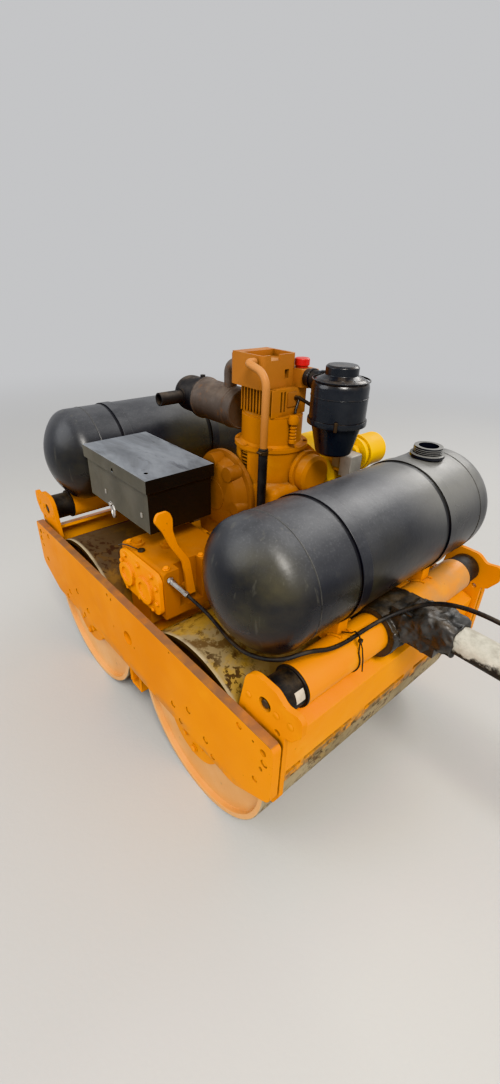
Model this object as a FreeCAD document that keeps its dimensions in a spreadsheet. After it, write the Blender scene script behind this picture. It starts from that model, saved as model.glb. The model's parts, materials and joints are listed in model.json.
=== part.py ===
import FreeCAD, Part

import math
import os

import Sketcher

# Hand-guided double drum vibratory roller, in millimetres.
# +X is forward, away from the tiller, +Y is the left side, +Z is up.
# Origin: on the ground, at the middle of the overall length and of the drums' width.

doc = FreeCAD.newDocument("roller")
sheet = doc.addObject("Spreadsheet::Sheet", "Sizes")


class Size:
    """A length that keeps its number and its formula over the sheet's cells."""

    def __init__(self, number, text):
        self.number = number
        self.text = text

    @staticmethod
    def of(value):
        return value if isinstance(value, Size) else Size(float(value), repr(float(value)))

    def __add__(self, other):
        other = Size.of(other)
        return Size(self.number + other.number, f"({self.text} + {other.text})")

    __radd__ = __add__

    def __sub__(self, other):
        other = Size.of(other)
        return Size(self.number - other.number, f"({self.text} - {other.text})")

    def __rsub__(self, other):
        return Size.of(other) - self

    def __mul__(self, other):
        other = Size.of(other)
        return Size(self.number * other.number, f"({self.text} * {other.text})")

    __rmul__ = __mul__

    def __truediv__(self, other):
        other = Size.of(other)
        return Size(self.number / other.number, f"({self.text} / {other.text})")

    def __neg__(self):
        return Size(-self.number, f"(0 - {self.text})")


# Driving dimensions: name, value, meaning
SIZES = (
    ("rear_reach", 1700, "rear axle to the end of the tiller's handle"),
    ("drum_radius", 240, "smooth drum"),
    ("drum_gap", 88, "between the two drums"),
    ("drum_width", 750, "both drums"),
    ("drum_wall", 14, "shell thickness"),
    ("disc_recess", 14, "end disc below the shell's rim"),
    ("disc_wall", 12, "end disc thickness"),
    ("hub_radius", 62, "raised hub on the end disc"),
    ("hub_rise", 3, "hub above the end disc"),
    ("shaft_radius", 26, "stub shaft on each end disc"),
    ("shaft_play", 0.3, "between a stub shaft and its bearing carrier"),
    ("shaft_back", 5, "stub shaft's end short of the side plate"),
    ("drum_clear", 10, "between a drum's skin and the plates that follow it"),
    ("plate_gap", 8, "drum end to the side plate"),
    ("plate_wall", 20, "side plate thickness"),
    ("plate_drop", 20, "side plate's top edge below the top of the drums"),
    ("plate_depth", 220, "side plate from top edge to lower edge"),
    ("plate_beyond", 45, "side plate beyond the drums, fore and aft"),
    ("plate_cut", 110, "length of the sloped lower corner"),
    ("plate_cut_rise", 62, "height of the sloped lower corner"),
    ("plate_corner", 14, "side plate's corner radius"),
    ("hand_hole", 20, "radius of the side plate's hand hole"),
    ("carrier_radius", 98, "bearing carrier flange"),
    ("carrier_wall", 16, "bearing carrier thickness"),
    ("ear_wall", 12, "ear plate thickness"),
    ("ear_gap", 6, "ear plate inside the side plate's inner face"),
    ("lobe_beyond", 37, "ear lobe beyond the side plate"),
    ("boss_radius", 15, "boss between ear and side plate"),
    ("tube_radius", 44.5, "cross tube"),
    ("tube_wall", 6, "cross tube wall"),
    ("tube_inset", 10, "cross tube axis inside the drum's outermost line"),
    ("tube_cap", 8, "cross tube's end wall"),
    ("buffer_radius", 39, "rubber buffer"),
    ("buffer_length", 62, "rubber buffer"),
    ("buffer_washer", 6, "steel washer on the buffer's inner end"),
    ("beam_wall", 10, "folded end beam"),
    ("beam_clear", 7.5, "end beam below the tiller's collar"),
    ("beam_depth", 163, "end beam from its top edge down"),
    ("slot_height", 12, "slots in the end beam"),
    ("member_play", 17, "middle member to each drum, at the axles' height"),
    ("member_height", 190, "middle member"),
    ("member_drop", 100, "middle member's underside below the axles"),
    ("member_wall", 8, "middle member wall"),
    ("rail_clear", 12, "frame rails above the drums"),
    ("rail_spread", 115, "frame rail from the middle"),
    ("rail_width", 50, "frame rail"),
    ("rail_depth", 48, "frame rail"),
    ("rail_over", 28, "frame rail's top above the cross tube's axis"),
    ("rail_wall", 5, "frame rail wall"),
    ("bed_wall", 12, "engine bed"),
    ("bed_length", 330, "engine bed along X"),
    ("bed_width", 284, "engine bed across"),
    ("tank_radius", 137, "water tank"),
    ("tank_clear", 12, "water tank above the frame rails"),
    ("rear_tank_length", 795, "rear water tank over its domes"),
    ("front_tank_length", 766, "front water tank over its domes"),
    ("tank_dome_left", 86, "depth of a tank's left end"),
    ("tank_knuckle_left", 52, "knuckle radius of a tank's left end"),
    ("tank_dome_right", 98, "depth of a tank's right end"),
    ("tank_knuckle_right", 60, "knuckle radius of a tank's right end"),
    ("rear_tank_shift", -5.5, "rear water tank off the middle"),
    ("front_tank_shift", -19.5, "front water tank off the middle"),
    ("rear_tank_edge", 14, "rear water tank's front edge ahead of the rear axle"),
    ("front_tank_edge", 37, "front water tank's rear edge ahead of the front axle"),
    ("neck_radius", 33, "filler neck"),
    ("neck_bore", 23, "filler neck opening"),
    ("neck_height", 26, "filler neck above the tank"),
    ("neck_depth", 60, "filler opening, from the neck's rim down"),
    ("neck_across", -225, "filler neck along the tank, from the middle"),
    ("strap_wall", 3, "tank strap thickness"),
    ("strap_width", 30, "tank strap width"),
    ("strap_spread", 156, "tank strap from the middle"),
    ("saddle_length", 96, "tank saddle along X"),
    ("saddle_height", 50, "tank saddle before its seat is cut"),
    ("box_length", 330, "battery box along X, over the lid"),
    ("box_width", 196, "battery box across, over the lid"),
    ("box_height", 143, "battery box with its lid"),
    ("box_rise", 92, "battery box above the frame rails"),
    ("box_wall", 3, "battery box sheet"),
    ("box_front_gap", 28, "battery box to the front water tank"),
    ("box_side_gap", 13, "battery box to the clutch housing"),
    ("lid_skirt", 34, "depth of the lid's skirt"),
    ("lid_play", 3, "between lid skirt and box"),
    ("shelf_wall", 8, "shelf under the battery box"),
    ("gearbox_back", 28, "gearbox middle behind the middle of the machine"),
    ("gearbox_length", 200, "gearbox along X"),
    ("gearbox_rise", 40, "gearbox top above the frame rails"),
    ("gearbox_drop", 34, "gearbox shoulder below the top of the drums"),
    ("gearbox_inset", 32, "gearbox's left face inside the drums' ends"),
    ("gearbox_cover_wall", 12, "gearbox cover thickness"),
    ("cap_rise", 9, "bearing caps above the gearbox cover"),
    ("engine_back", 83, "engine cylinder axis behind the middle of the machine"),
    ("engine_across", -24, "engine cylinder axis from the middle"),
    ("crank_rise", 128, "crank axis above the engine bed"),
    ("case_left", 64, "crankcase's left face from the middle"),
    ("case_width", 190, "crankcase across"),
    ("case_length", 242, "crankcase along X"),
    ("case_height", 184, "crankcase from the bed to its shoulder"),
    ("neck_case_height", 77, "round top of the crankcase"),
    ("neck_case_radius", 88, "round top of the crankcase"),
    ("barrel_flange", 9, "flange under the barrel"),
    ("barrel_radius", 76, "smooth part of the barrel"),
    ("barrel_height", 73, "smooth part of the barrel"),
    ("fin_block", 112, "finned cylinder head, both ways"),
    ("fin_height", 63, "finned cylinder head"),
    ("fin_depth", 16, "cooling fins"),
    ("fin_pitch", 11, "cooling fins"),
    ("fin_gap", 6, "between two cooling fins"),
    ("cowl_length", 118, "head cowl along X"),
    ("cowl_width", 110, "head cowl across"),
    ("cowl_height", 74, "head cowl"),
    ("muffler_radius", 51, "muffler at its near end"),
    ("muffler_length", 163, "muffler's ribbed part"),
    ("outlet_radius", 18, "exhaust outlet"),
    ("outlet_length", 122, "exhaust outlet from the muffler's axis"),
    ("outlet_bare", 70, "bare end of the exhaust outlet"),
    ("cleaner_radius", 63, "air cleaner body"),
    ("cleaner_clear", 8, "air cleaner's bowl above the rear water tank"),
    ("flywheel_radius", 124, "flywheel housing"),
    ("flywheel_length", 120, "flywheel housing"),
    ("bell_radius", 112, "clutch housing's flange"),
    ("bell_wall", 12, "clutch housing's flange"),
    ("bell_depth", 48, "clutch housing across"),
    ("breather_radius", 9, "breather pipe"),
    ("breather_hose_radius", 11, "breather hose"),
    ("tiller_radius", 31, "tiller tube"),
    ("tiller_rise", 55, "tiller tube axis above the cross tube's axis"),
    ("tiller_wall", 4, "tiller tube wall"),
    ("tiller_length", 1120, "tiller tube"),
    ("collar_play", 1, "between the tiller's collar and the cross tube"),
    ("collar_wall", 12, "tiller collar"),
    ("collar_width", 120, "tiller collar across"),
    ("handle_radius", 14, "handle tube"),
    ("handle_width", 432, "handle between its side tubes"),
    ("cable_radius", 4.5, "control cable"),
    ("ferrule_radius", 7, "control cable's ferrule"),
)

for row, (name, value, meaning) in enumerate(SIZES, start=1):
    sheet.set(f"A{row}", name)
    sheet.set(f"B{row}", str(value))
    sheet.set(f"C{row}", meaning)
    sheet.setAlias(f"B{row}", name)
doc.recompute()
S = {name: Size(float(value), f"Sizes.{name}") for name, value, meaning in SIZES}

# Places along X: the front ears' hooks are the front end, the handle is the rear end,
# and the origin is half-way
wheelbase = S["drum_radius"] * 2 + S["drum_gap"]
plate_reach = S["drum_radius"] + S["plate_beyond"]
lobe_reach = plate_reach + S["lobe_beyond"]
tube_back = S["drum_radius"] - S["tube_inset"]
rear_axle = (S["rear_reach"] - wheelbase - lobe_reach) / 2
front_axle = rear_axle + wheelbase
middle_x = rear_axle + wheelbase / 2
AXLES = (("rear", rear_axle, -1), ("front", front_axle, 1))

# Places along Y
half_width = S["drum_width"] / 2
plate_inner = half_width + S["plate_gap"]
ear_outer = plate_inner - S["ear_gap"]
tube_half = ear_outer - S["ear_wall"] - S["buffer_length"]
SIDES = (("left", 1), ("right", -1))

# Heights, from the drums up
axle_height = S["drum_radius"]
drum_top = S["drum_radius"] * 2
plate_top = drum_top - S["plate_drop"]
plate_foot = plate_top - S["plate_depth"]
rail_foot = drum_top + S["rail_clear"]
rail_top = rail_foot + S["rail_depth"]
tube_height = rail_top - S["rail_over"]
tank_height = rail_top + S["tank_clear"] + S["tank_radius"]
strap_radius = S["tank_radius"] + S["strap_wall"]
bed_top = rail_top + S["bed_wall"]
box_foot = rail_top + S["box_rise"]
box_top = box_foot + S["box_height"]
gearbox_top = rail_top + S["gearbox_rise"]
gearbox_foot = drum_top - S["gearbox_drop"]
collar_outer = S["tube_radius"] + S["collar_play"] + S["collar_wall"]
beam_top = tube_height - collar_outer - S["beam_clear"]


def bind(thing, name, value):
    value = Size.of(value)
    thing.setExpression(name, value.text)
    return thing


def place(thing, x=0, y=0, z=0):
    for axis, value in (("x", x), ("y", y), ("z", z)):
        bind(thing, f".Placement.Base.{axis}", value)
    return thing


def turn(thing, axis, degrees):
    base = thing.Placement.Base
    thing.Placement = FreeCAD.Placement(base, FreeCAD.Rotation(FreeCAD.Vector(*axis), degrees))
    return thing


def block(name, size, middle, foot):
    """Box with its middle at (x, y) and its underside at foot."""
    thing = doc.addObject("Part::Box", name)
    for key, value in zip(("Length", "Width", "Height"), size):
        bind(thing, key, value)
    return place(thing, middle[0] - Size.of(size[0]) / 2, middle[1] - Size.of(size[1]) / 2, foot)


TURNS = {"X": ((0, 1, 0), 90), "Y": ((1, 0, 0), -90), "Z": ((0, 0, 1), 0)}


def rod(name, axis, radius, length, start):
    """Cylinder from start, towards the positive end of its axis."""
    thing = doc.addObject("Part::Cylinder", name)
    bind(thing, "Radius", radius)
    bind(thing, "Height", length)
    turn(thing, *TURNS[axis])
    return place(thing, *start)


def fuse(name, pieces):
    thing = doc.addObject("Part::MultiFuse", name)
    thing.Shapes = list(pieces)
    return thing


def cut(name, base, tools):
    tool = tools[0] if len(tools) == 1 else fuse(f"{name}_tools", tools)
    thing = doc.addObject("Part::Cut", name)
    thing.Base = base
    thing.Tool = tool
    return thing


def curve(start, end, radius):
    """Arc from start to end that bulges to the right of its way, or to the left if radius is negative."""
    chord = end - start
    half = chord.Length / 2
    size = abs(radius)
    rise = size - math.sqrt(size * size - half * half)
    right = FreeCAD.Vector(chord.y, -chord.x, 0).normalize()
    middle = (start + end) / 2 + right * math.copysign(rise, radius)
    return Part.Arc(start, middle, end), radius > 0


def draw(body, name, role, outline, holes=()):
    """Sketch on a body's own plane: a closed outline and round holes (u, v, radius).

    A point of the outline is (u, v), or (u, v, radius) where an arc leads to the next point.
    """
    sketch = body.newObject("Sketcher::SketchObject", name)
    plane = [item for item in body.Origin.OriginFeatures if item.Role == role][0]
    sketch.AttachmentSupport = [(plane, "")]
    sketch.MapMode = "FlatFace"
    points = [(Size.of(point[0]), Size.of(point[1])) for point in outline]
    bends = [Size.of(point[2]) if len(point) > 2 else None for point in outline]
    spots = [FreeCAD.Vector(u.number, v.number, 0) for u, v in points]
    count = len(points)
    ends = []
    for index, bend in enumerate(bends):
        onward = spots[(index + 1) % count]
        if bend is None:
            sketch.addGeometry(Part.LineSegment(spots[index], onward))
            ends.append((1, 2))
        else:
            arc, forward = curve(spots[index], onward, bend.number)
            sketch.addGeometry(arc)
            ends.append((1, 2) if forward else (2, 1))
    for index in range(count):
        after = (index + 1) % count
        sketch.addConstraint(Sketcher.Constraint("Coincident", index, ends[index][1], after, ends[after][0]))
    rows = []
    for index, point in enumerate(points):
        for kind, value in zip(("DistanceX", "DistanceY"), point):
            rows.append(((kind, -1, 1, index, ends[index][0]), value))
        if bends[index] is not None:
            rows.append((("Radius", index), bends[index] if bends[index].number > 0 else -bends[index]))
    for offset, hole in enumerate(holes):
        u, v, radius = (Size.of(value) for value in hole)
        index = count + offset
        centre = FreeCAD.Vector(u.number, v.number, 0)
        sketch.addGeometry(Part.Circle(centre, FreeCAD.Vector(0, 0, 1), radius.number))
        rows.append((("DistanceX", -1, 1, index, 3), u))
        rows.append((("DistanceY", -1, 1, index, 3), v))
        rows.append((("Radius", index), radius))
    for words, value in rows:
        number = sketch.addConstraint(Sketcher.Constraint(*words, value.number))
        sketch.setExpression(f"Constraints[{number}]", value.text)
    return sketch


# Sketch plane: which coordinates of a solid are the sketch's u and v
PLANES = {"XY_Plane": (0, 1), "XZ_Plane": (0, 2), "YZ_Plane": (1, 2)}


def slab(name, role, thickness, outline, holes=(), corners=None):
    """Plate padded evenly to both sides of an origin plane; corners gives rounding by point number."""
    body = doc.addObject("PartDesign::Body", name)
    sketch = draw(body, f"{name}_outline", role, outline, holes)
    pad = body.newObject("PartDesign::Pad", f"{name}_pad")
    pad.Profile = sketch
    bind(pad, "Length", thickness)
    pad.SideType = "Symmetric"
    by_radius = {}
    for index, radius in (corners or {}).items():
        by_radius.setdefault(Size.of(radius).number, (Size.of(radius), []))[1].append(index)
    for order, (radius, indices) in enumerate(by_radius.values()):
        doc.recompute()
        first, second = PLANES[role]
        spots = [tuple(Size.of(value).number for value in outline[index][:2]) for index in indices]
        found = []
        for number, edge in enumerate(body.Tip.Shape.Edges, start=1):
            ends = [vertex.Point for vertex in edge.Vertexes]
            if len(ends) != 2:
                continue
            drift = [(end[first], end[second]) for end in ends]
            if math.dist(*drift) < 0.01 and any(math.dist(drift[0], spot) < 0.01 for spot in spots):
                found.append(f"Edge{number}")
        base = body.Tip
        rounding = body.newObject("PartDesign::Fillet", f"{name}_rounding_{order}")
        rounding.Base = (base, found)
        bind(rounding, "Radius", radius)
    return body


def turned(name, axis, profile):
    """Body of revolution about X, Y or Z; the profile is a closed outline of (radius, along) points."""
    body = doc.addObject("PartDesign::Body", name)
    role = "XZ_Plane" if axis == "Z" else "XY_Plane"
    sketch = draw(body, f"{name}_profile", role, profile)
    spin = body.newObject("PartDesign::Revolution", f"{name}_spin")
    spin.Profile = sketch
    spin.ReferenceAxis = (sketch, ["V_Axis"])
    spin.Angle = 360
    if axis == "X":
        turn(body, (0, 0, 1), -90)
    return body


def soft_edges(name, thing, radius, keep):
    """Rounds the edges of a solid whose bounds pass the test keep."""
    doc.recompute()
    rounded = doc.addObject("Part::Fillet", name)
    rounded.Base = thing
    chosen = [number for number, edge in enumerate(thing.Shape.Edges, start=1) if keep(edge.BoundBox)]
    rounded.Edges = [(number, radius, radius) for number in chosen]
    return rounded


def tube_along(route, radius):
    """Tube through straight runs joined by tangent arcs, as a closed solid; prints its arc radii."""
    points = [FreeCAD.Vector(*(Size.of(value).number for value in point)) for point in route]
    edges = []
    start = points[0]
    radii = []
    for before, corner, after in zip(points, points[1:], points[2:]):
        back = (before - corner).normalize()
        onward = (after - corner).normalize()
        half_turn = (math.pi - back.getAngle(onward)) / 2
        shorter = min((before - corner).Length, (after - corner).Length)
        trim = 0.45 * shorter
        arc_radius = trim / math.tan(half_turn)
        radii.append(round(arc_radius))
        arc_start = corner + back * trim
        arc_end = corner + onward * trim
        bisector = (back + onward).normalize()
        middle = corner + bisector * (arc_radius / math.cos(half_turn) - arc_radius)
        edges.append(Part.LineSegment(start, arc_start).toShape())
        edges.append(Part.Arc(arc_start, middle, arc_end).toShape())
        start = arc_end
    edges.append(Part.LineSegment(start, points[-1]).toShape())
    path = Part.Wire(edges)
    circle = Part.Circle(points[0], (points[1] - points[0]).normalize(), radius.number)
    profile = Part.Wire([circle.toShape()])
    tube = path.makePipeShell([profile], True, False)
    print("arc radii", radii, "length", round(path.Length), "volume share",
          round(tube.Volume / (math.pi * radius.number ** 2 * path.Length), 4))
    return tube


nodes = {}


def node(name, thing):
    thing.Label = name
    nodes[name] = thing
    return thing


# Drums: shell with recessed end discs, hubs and stub shafts
def drum(label, axle_x):
    half = half_width
    face = half - S["disc_recess"]
    inside = face - S["disc_wall"]
    shell_inner = S["drum_radius"] - S["drum_wall"]
    shaft_end = plate_inner - S["shaft_back"]
    hub_face = face + S["hub_rise"]
    outer = (
        (0, -shaft_end), (S["shaft_radius"], -shaft_end), (S["shaft_radius"], -hub_face),
        (S["hub_radius"], -hub_face), (S["hub_radius"], -face), (shell_inner, -face), (shell_inner, -half),
        (S["drum_radius"], -half), (S["drum_radius"], half), (shell_inner, half), (shell_inner, face),
        (S["hub_radius"], face), (S["hub_radius"], hub_face), (S["shaft_radius"], hub_face),
        (S["shaft_radius"], shaft_end), (0, shaft_end),
    )
    solid = turned(f"{label}_drum_solid", "Y", outer)
    hollow_profile = ((0, -inside), (shell_inner, -inside), (shell_inner, inside), (0, inside))
    hollow = turned(f"{label}_drum_hollow", "Y", hollow_profile)
    place(solid, axle_x, 0, axle_height)
    place(hollow, axle_x, 0, axle_height)
    node(f"drum_{label}", cut(f"drum_{label}", solid, [hollow]))


for label, axle_x, outward in AXLES:
    drum(label, axle_x)

# Side plates: trapezoid with rounded corners, hand hole and small holes
# ahead of the rear axle or behind the front one, below the top edge, radius
SMALL_HOLES = ((-259, 32, 8), (-231, 27, 3), (-255, 82, 5), (228, 120, 3))
EDGE_HOLES = ((55, 12, 3), (336, 28, 4), (356, 24, 5))


def side_plate(label, side):
    end_back = -plate_reach
    end_front = wheelbase + plate_reach
    shoulder = plate_foot + S["plate_cut_rise"]
    outline = (
        (end_back, shoulder), (end_back, plate_top), (end_front, plate_top), (end_front, shoulder),
        (end_front - S["plate_cut"], plate_foot), (end_back + S["plate_cut"], plate_foot),
    )
    corners = {1: S["plate_corner"], 2: S["plate_corner"], 0: S["plate_corner"] * 2, 3: S["plate_corner"] * 2,
               4: S["plate_corner"] * 4, 5: S["plate_corner"] * 4}
    holes = [(place_x, plate_top - below, radius) for place_x, below, radius in SMALL_HOLES + EDGE_HOLES]
    holes += [(wheelbase - place_x, plate_top - below, radius) for place_x, below, radius in SMALL_HOLES]
    holes.append((wheelbase / 2 - 24, plate_top - 108, S["hand_hole"]))
    plate = slab(f"side_plate_{label}", "XZ_Plane", S["plate_wall"], outline, holes, corners)
    node(f"side_plate_{label}", place(plate, rear_axle, side * (plate_inner + S["plate_wall"] / 2), 0))


for label, side in SIDES:
    side_plate(label, side)

# Bearing carriers: bored flanges bolted inside the side plates, one for each stub shaft
carriers = []
for axle_label, axle_x, outward in AXLES:
    for label, side in SIDES:
        name = f"carrier_{axle_label}_{label}"
        start_y = plate_inner - S["carrier_wall"] if side > 0 else -plate_inner
        disc = rod(f"{name}_disc", "Y", S["carrier_radius"], S["carrier_wall"],
                   (axle_x, start_y, axle_height))
        bore = rod(f"{name}_bore", "Y", S["shaft_radius"] + S["shaft_play"], S["carrier_wall"] + 2,
                   (axle_x, start_y - 1, axle_height))
        carriers.append(cut(name, disc, [bore]))
node("bearing_carriers", fuse("bearing_carriers", carriers))

# Ear plates: they carry the rubber buffers and end in a rounded lobe that points away from the drums
EAR_OUTLINE = (
    # distance beyond the axle, height, corner radius
    (tube_back - 78, plate_top - 40, 4),
    (tube_back - 50, tube_height + 54, 40),
    (tube_back + 26, tube_height + 52, 30),
    (tube_back + 50, tube_height + 33, 20),
    (lobe_reach, tube_height + 40, 14),
    (lobe_reach, tube_height - 4, 10),
    (lobe_reach - 22, tube_height - 36, 14),
    (plate_reach - 1, tube_height - 38, 6),
    (plate_reach - 1, plate_foot + 56, 10),
    (plate_reach - 15, plate_foot + 22, 8),
    (plate_reach - 65, plate_foot + 22, 4),
)
# distance beyond the axle, height above the side plate's lower edge
EAR_BOSSES = ((plate_reach - 27, 100), (plate_reach - 27, 162))
buffer_bolt = S["buffer_radius"] * 0.4
tie_hole = 7


def ear(axle_label, axle_x, outward, label, side):
    name = f"ear_{axle_label}_{label}"
    outline = [(outward * beyond, height) for beyond, height, radius in EAR_OUTLINE]
    last = len(EAR_OUTLINE) - 1
    corners = {index: row[2] for index, row in enumerate(EAR_OUTLINE) if index not in (0, last)}
    holes = [
        (outward * (plate_reach - 19), plate_top + 10, tie_hole),
        (outward * tube_back, tube_height, buffer_bolt),
    ]
    blank = place(slab(f"{name}_plate", "XZ_Plane", S["ear_wall"], outline, holes, corners), axle_x,
                  side * (ear_outer - S["ear_wall"] / 2), 0)
    drum_room = rod(f"{name}_drum_room", "Y", S["drum_radius"] + S["drum_clear"], S["ear_wall"] * 3,
                    (axle_x, side * (ear_outer - S["ear_wall"] / 2) - S["ear_wall"] * 1.5, axle_height))
    plate = cut(f"{name}_blank", blank, [drum_room])
    boss_y = ear_outer if side > 0 else -plate_inner
    bosses = [rod(f"{name}_boss_{height}", "Y", S["boss_radius"], S["ear_gap"],
                  (axle_x + outward * beyond, boss_y, plate_foot + height)) for beyond, height in EAR_BOSSES]
    return fuse(name, [plate] + bosses)


for axle_label, axle_x, outward in AXLES:
    pair = [ear(axle_label, axle_x, outward, label, side) for label, side in SIDES]
    node(f"ears_{axle_label}", fuse(f"ears_{axle_label}", pair))

# End beams: one folded plate between the ears, its outer face slotted above the lower lip
# middle of the slot from the middle of the machine, length
BEAM_SLOTS = ((206, 157), (-2, 161), (-206, 157), (317, 43), (-317, 43))


def end_beam(axle_label, axle_x, outward):
    wall = S["beam_wall"]
    beam_foot = beam_top - S["beam_depth"]
    crest = plate_reach - 13
    outline = [(outward * beyond, height) for beyond, height in (
        (crest - 50, beam_top), (crest, beam_top - 16), (crest - wall, beam_foot),
        (crest - wall * 2, beam_foot),
        (crest - wall - 1, beam_top - 23), (crest - 53, beam_top - wall),
    )]
    span = (ear_outer - S["ear_wall"]) * 2
    beam = place(slab(f"end_beam_{axle_label}_fold", "XZ_Plane", span, outline), axle_x, 0, 0)
    slots = [block(f"end_beam_{axle_label}_slot_{middle}", (wall * 3, length, S["slot_height"]),
                   (axle_x + outward * (crest - wall),
                    Size.of(middle)), beam_foot + 24) for middle, length in BEAM_SLOTS]
    node(f"end_beam_{axle_label}", cut(f"end_beam_{axle_label}", beam, slots))


for axle_label, axle_x, outward in AXLES:
    end_beam(axle_label, axle_x, outward)

# Middle member: box beam between the drums that ties the side plates together
member_width = S["drum_gap"] - S["member_play"] * 2
member_foot = axle_height - S["member_drop"]
member_size = (member_width, plate_inner * 2, S["member_height"])
member = block("middle_member_skin", member_size, (middle_x, Size.of(0)), member_foot)
member_room = block("middle_member_hollow",
                    (member_width - S["member_wall"] * 2, plate_inner * 2 + 2,
                     S["member_height"] - S["member_wall"] * 2),
                    (middle_x, Size.of(0)), member_foot + S["member_wall"])
node("middle_member", cut("middle_member", member, [member_room]))

# Rubber buffers between the ears and the cross tubes' ends, each with a washer at the tube
for axle_label, axle_x, outward in AXLES:
    pair = []
    tube_x = axle_x + outward * tube_back
    rubber = S["buffer_length"] - S["buffer_washer"]
    for label, side in SIDES:
        rubber_y = tube_half + S["buffer_washer"] if side > 0 else -tube_half - S["buffer_length"]
        washer_y = tube_half if side > 0 else -tube_half - S["buffer_washer"]
        name = f"buffer_{axle_label}_{label}"
        pair.append(rod(name, "Y", S["buffer_radius"], rubber, (tube_x, rubber_y, tube_height)))
        pair.append(rod(f"{name}_washer", "Y", S["tube_radius"], S["buffer_washer"],
                        (tube_x, washer_y, tube_height)))
    node(f"buffers_{axle_label}", fuse(f"buffers_{axle_label}", pair))

# Cross tubes with closed ends
for axle_label, axle_x, outward in AXLES:
    tube_x = axle_x + outward * tube_back
    outer = rod(f"tube_{axle_label}_outer", "Y", S["tube_radius"], tube_half * 2,
                (tube_x, -tube_half, tube_height))
    bore_half = tube_half - S["tube_cap"]
    inner = rod(f"tube_{axle_label}_inner", "Y", S["tube_radius"] - S["tube_wall"], bore_half * 2,
                (tube_x, -bore_half, tube_height))
    node(f"cross_tube_{axle_label}", cut(f"cross_tube_{axle_label}", outer, [inner]))

# Frame rails: hollow, coped to the cross tubes at both ends
rail_length = wheelbase + tube_back * 2
rails = []
for label, side in SIDES:
    rail_middle = (middle_x, side * S["rail_spread"])
    skin = block(f"rail_{label}_skin", (rail_length, S["rail_width"], S["rail_depth"]), rail_middle,
                 rail_foot)
    inside = block(f"rail_{label}_inside",
                   (rail_length + 2, S["rail_width"] - S["rail_wall"] * 2,
                    S["rail_depth"] - S["rail_wall"] * 2),
                   rail_middle, rail_foot + S["rail_wall"])
    copes = [rod(f"rail_{label}_cope_{axle_label}", "Y", S["tube_radius"], S["rail_width"] * 2,
                 (axle_x + outward * tube_back, side * S["rail_spread"] - S["rail_width"], tube_height))
             for axle_label, axle_x, outward in AXLES]
    rails.append(cut(f"rail_{label}", skin, [inside] + copes))
node("frame_rails", fuse("frame_rails", rails))

# Engine bed across the rails
engine_x = middle_x - S["engine_back"]
engine_y = S["engine_across"]
node("engine_bed", block("engine_bed", (S["bed_length"], S["bed_width"], S["bed_wall"]),
                         (engine_x + 9, engine_y + 20), rail_top))


# Water tanks: drum with dished ends, solid apart from the filler opening
def dished_end(radius, knuckle, depth):
    """Crown radius of a dished end, and where its knuckle meets the crown, as (radius, along)."""
    inset = radius - knuckle
    crown = (depth * depth + inset * inset - knuckle * knuckle) / ((depth - knuckle) * 2)
    share = crown / (crown - knuckle)
    return crown, inset * share, (depth - crown) + (crown - depth) * share


def tank_profile(length):
    """Half outline of a tank as (radius, y)."""
    radius = S["tank_radius"]
    half = length / 2
    right_start = half - S["tank_dome_right"]
    left_start = half - S["tank_dome_left"]
    right_crown, right_r, right_y = dished_end(radius, S["tank_knuckle_right"], S["tank_dome_right"])
    left_crown, left_r, left_y = dished_end(radius, S["tank_knuckle_left"], S["tank_dome_left"])
    return (
        (0, -half, right_crown), (right_r, -(right_start + right_y), S["tank_knuckle_right"]),
        (radius, -right_start),
        (radius, left_start, S["tank_knuckle_left"]), (left_r, left_start + left_y, left_crown), (0, half),
    )


def tank(axle_label, tank_x, shift, length):
    name = f"water_tank_{axle_label}"
    shell = place(turned(f"{name}_shell", "Y", tank_profile(length)), tank_x, shift, tank_height)
    rim = tank_height + S["tank_radius"] + S["neck_height"]
    neck = rod(f"{name}_neck", "Z", S["neck_radius"], S["neck_height"] * 1.5,
               (tank_x, S["neck_across"], rim - S["neck_height"] * 1.5))
    bore = rod(f"{name}_neck_bore", "Z", S["neck_bore"], S["neck_depth"] + 1,
               (tank_x, S["neck_across"], rim - S["neck_depth"]))
    node(name, cut(name, fuse(f"{name}_outer", [shell, neck]), [bore]))


rear_tank_x = rear_axle + S["rear_tank_edge"] - S["tank_radius"]
front_tank_x = front_axle + S["front_tank_edge"] + S["tank_radius"]
TANKS = (
    ("rear", rear_tank_x, S["rear_tank_shift"], S["rear_tank_length"]),
    ("front", front_tank_x, S["front_tank_shift"], S["front_tank_length"]),
)
for label, tank_x, shift, length in TANKS:
    tank(label, tank_x, shift, length)

# Straps round the tanks
for label, tank_x, shift, length in TANKS:
    bands = []
    for side_label, side in SIDES:
        low_y = side * S["strap_spread"] - S["strap_width"] / 2
        band = rod(f"strap_{label}_{side_label}_band", "Y", strap_radius, S["strap_width"],
                   (tank_x, low_y, tank_height))
        hole = rod(f"strap_{label}_{side_label}_hole", "Y", S["tank_radius"], S["strap_width"] + 2,
                   (tank_x, low_y - 1, tank_height))
        bands.append(cut(f"strap_{label}_{side_label}", band, [hole]))
    node(f"tank_straps_{label}", fuse(f"tank_straps_{label}", bands))

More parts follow.
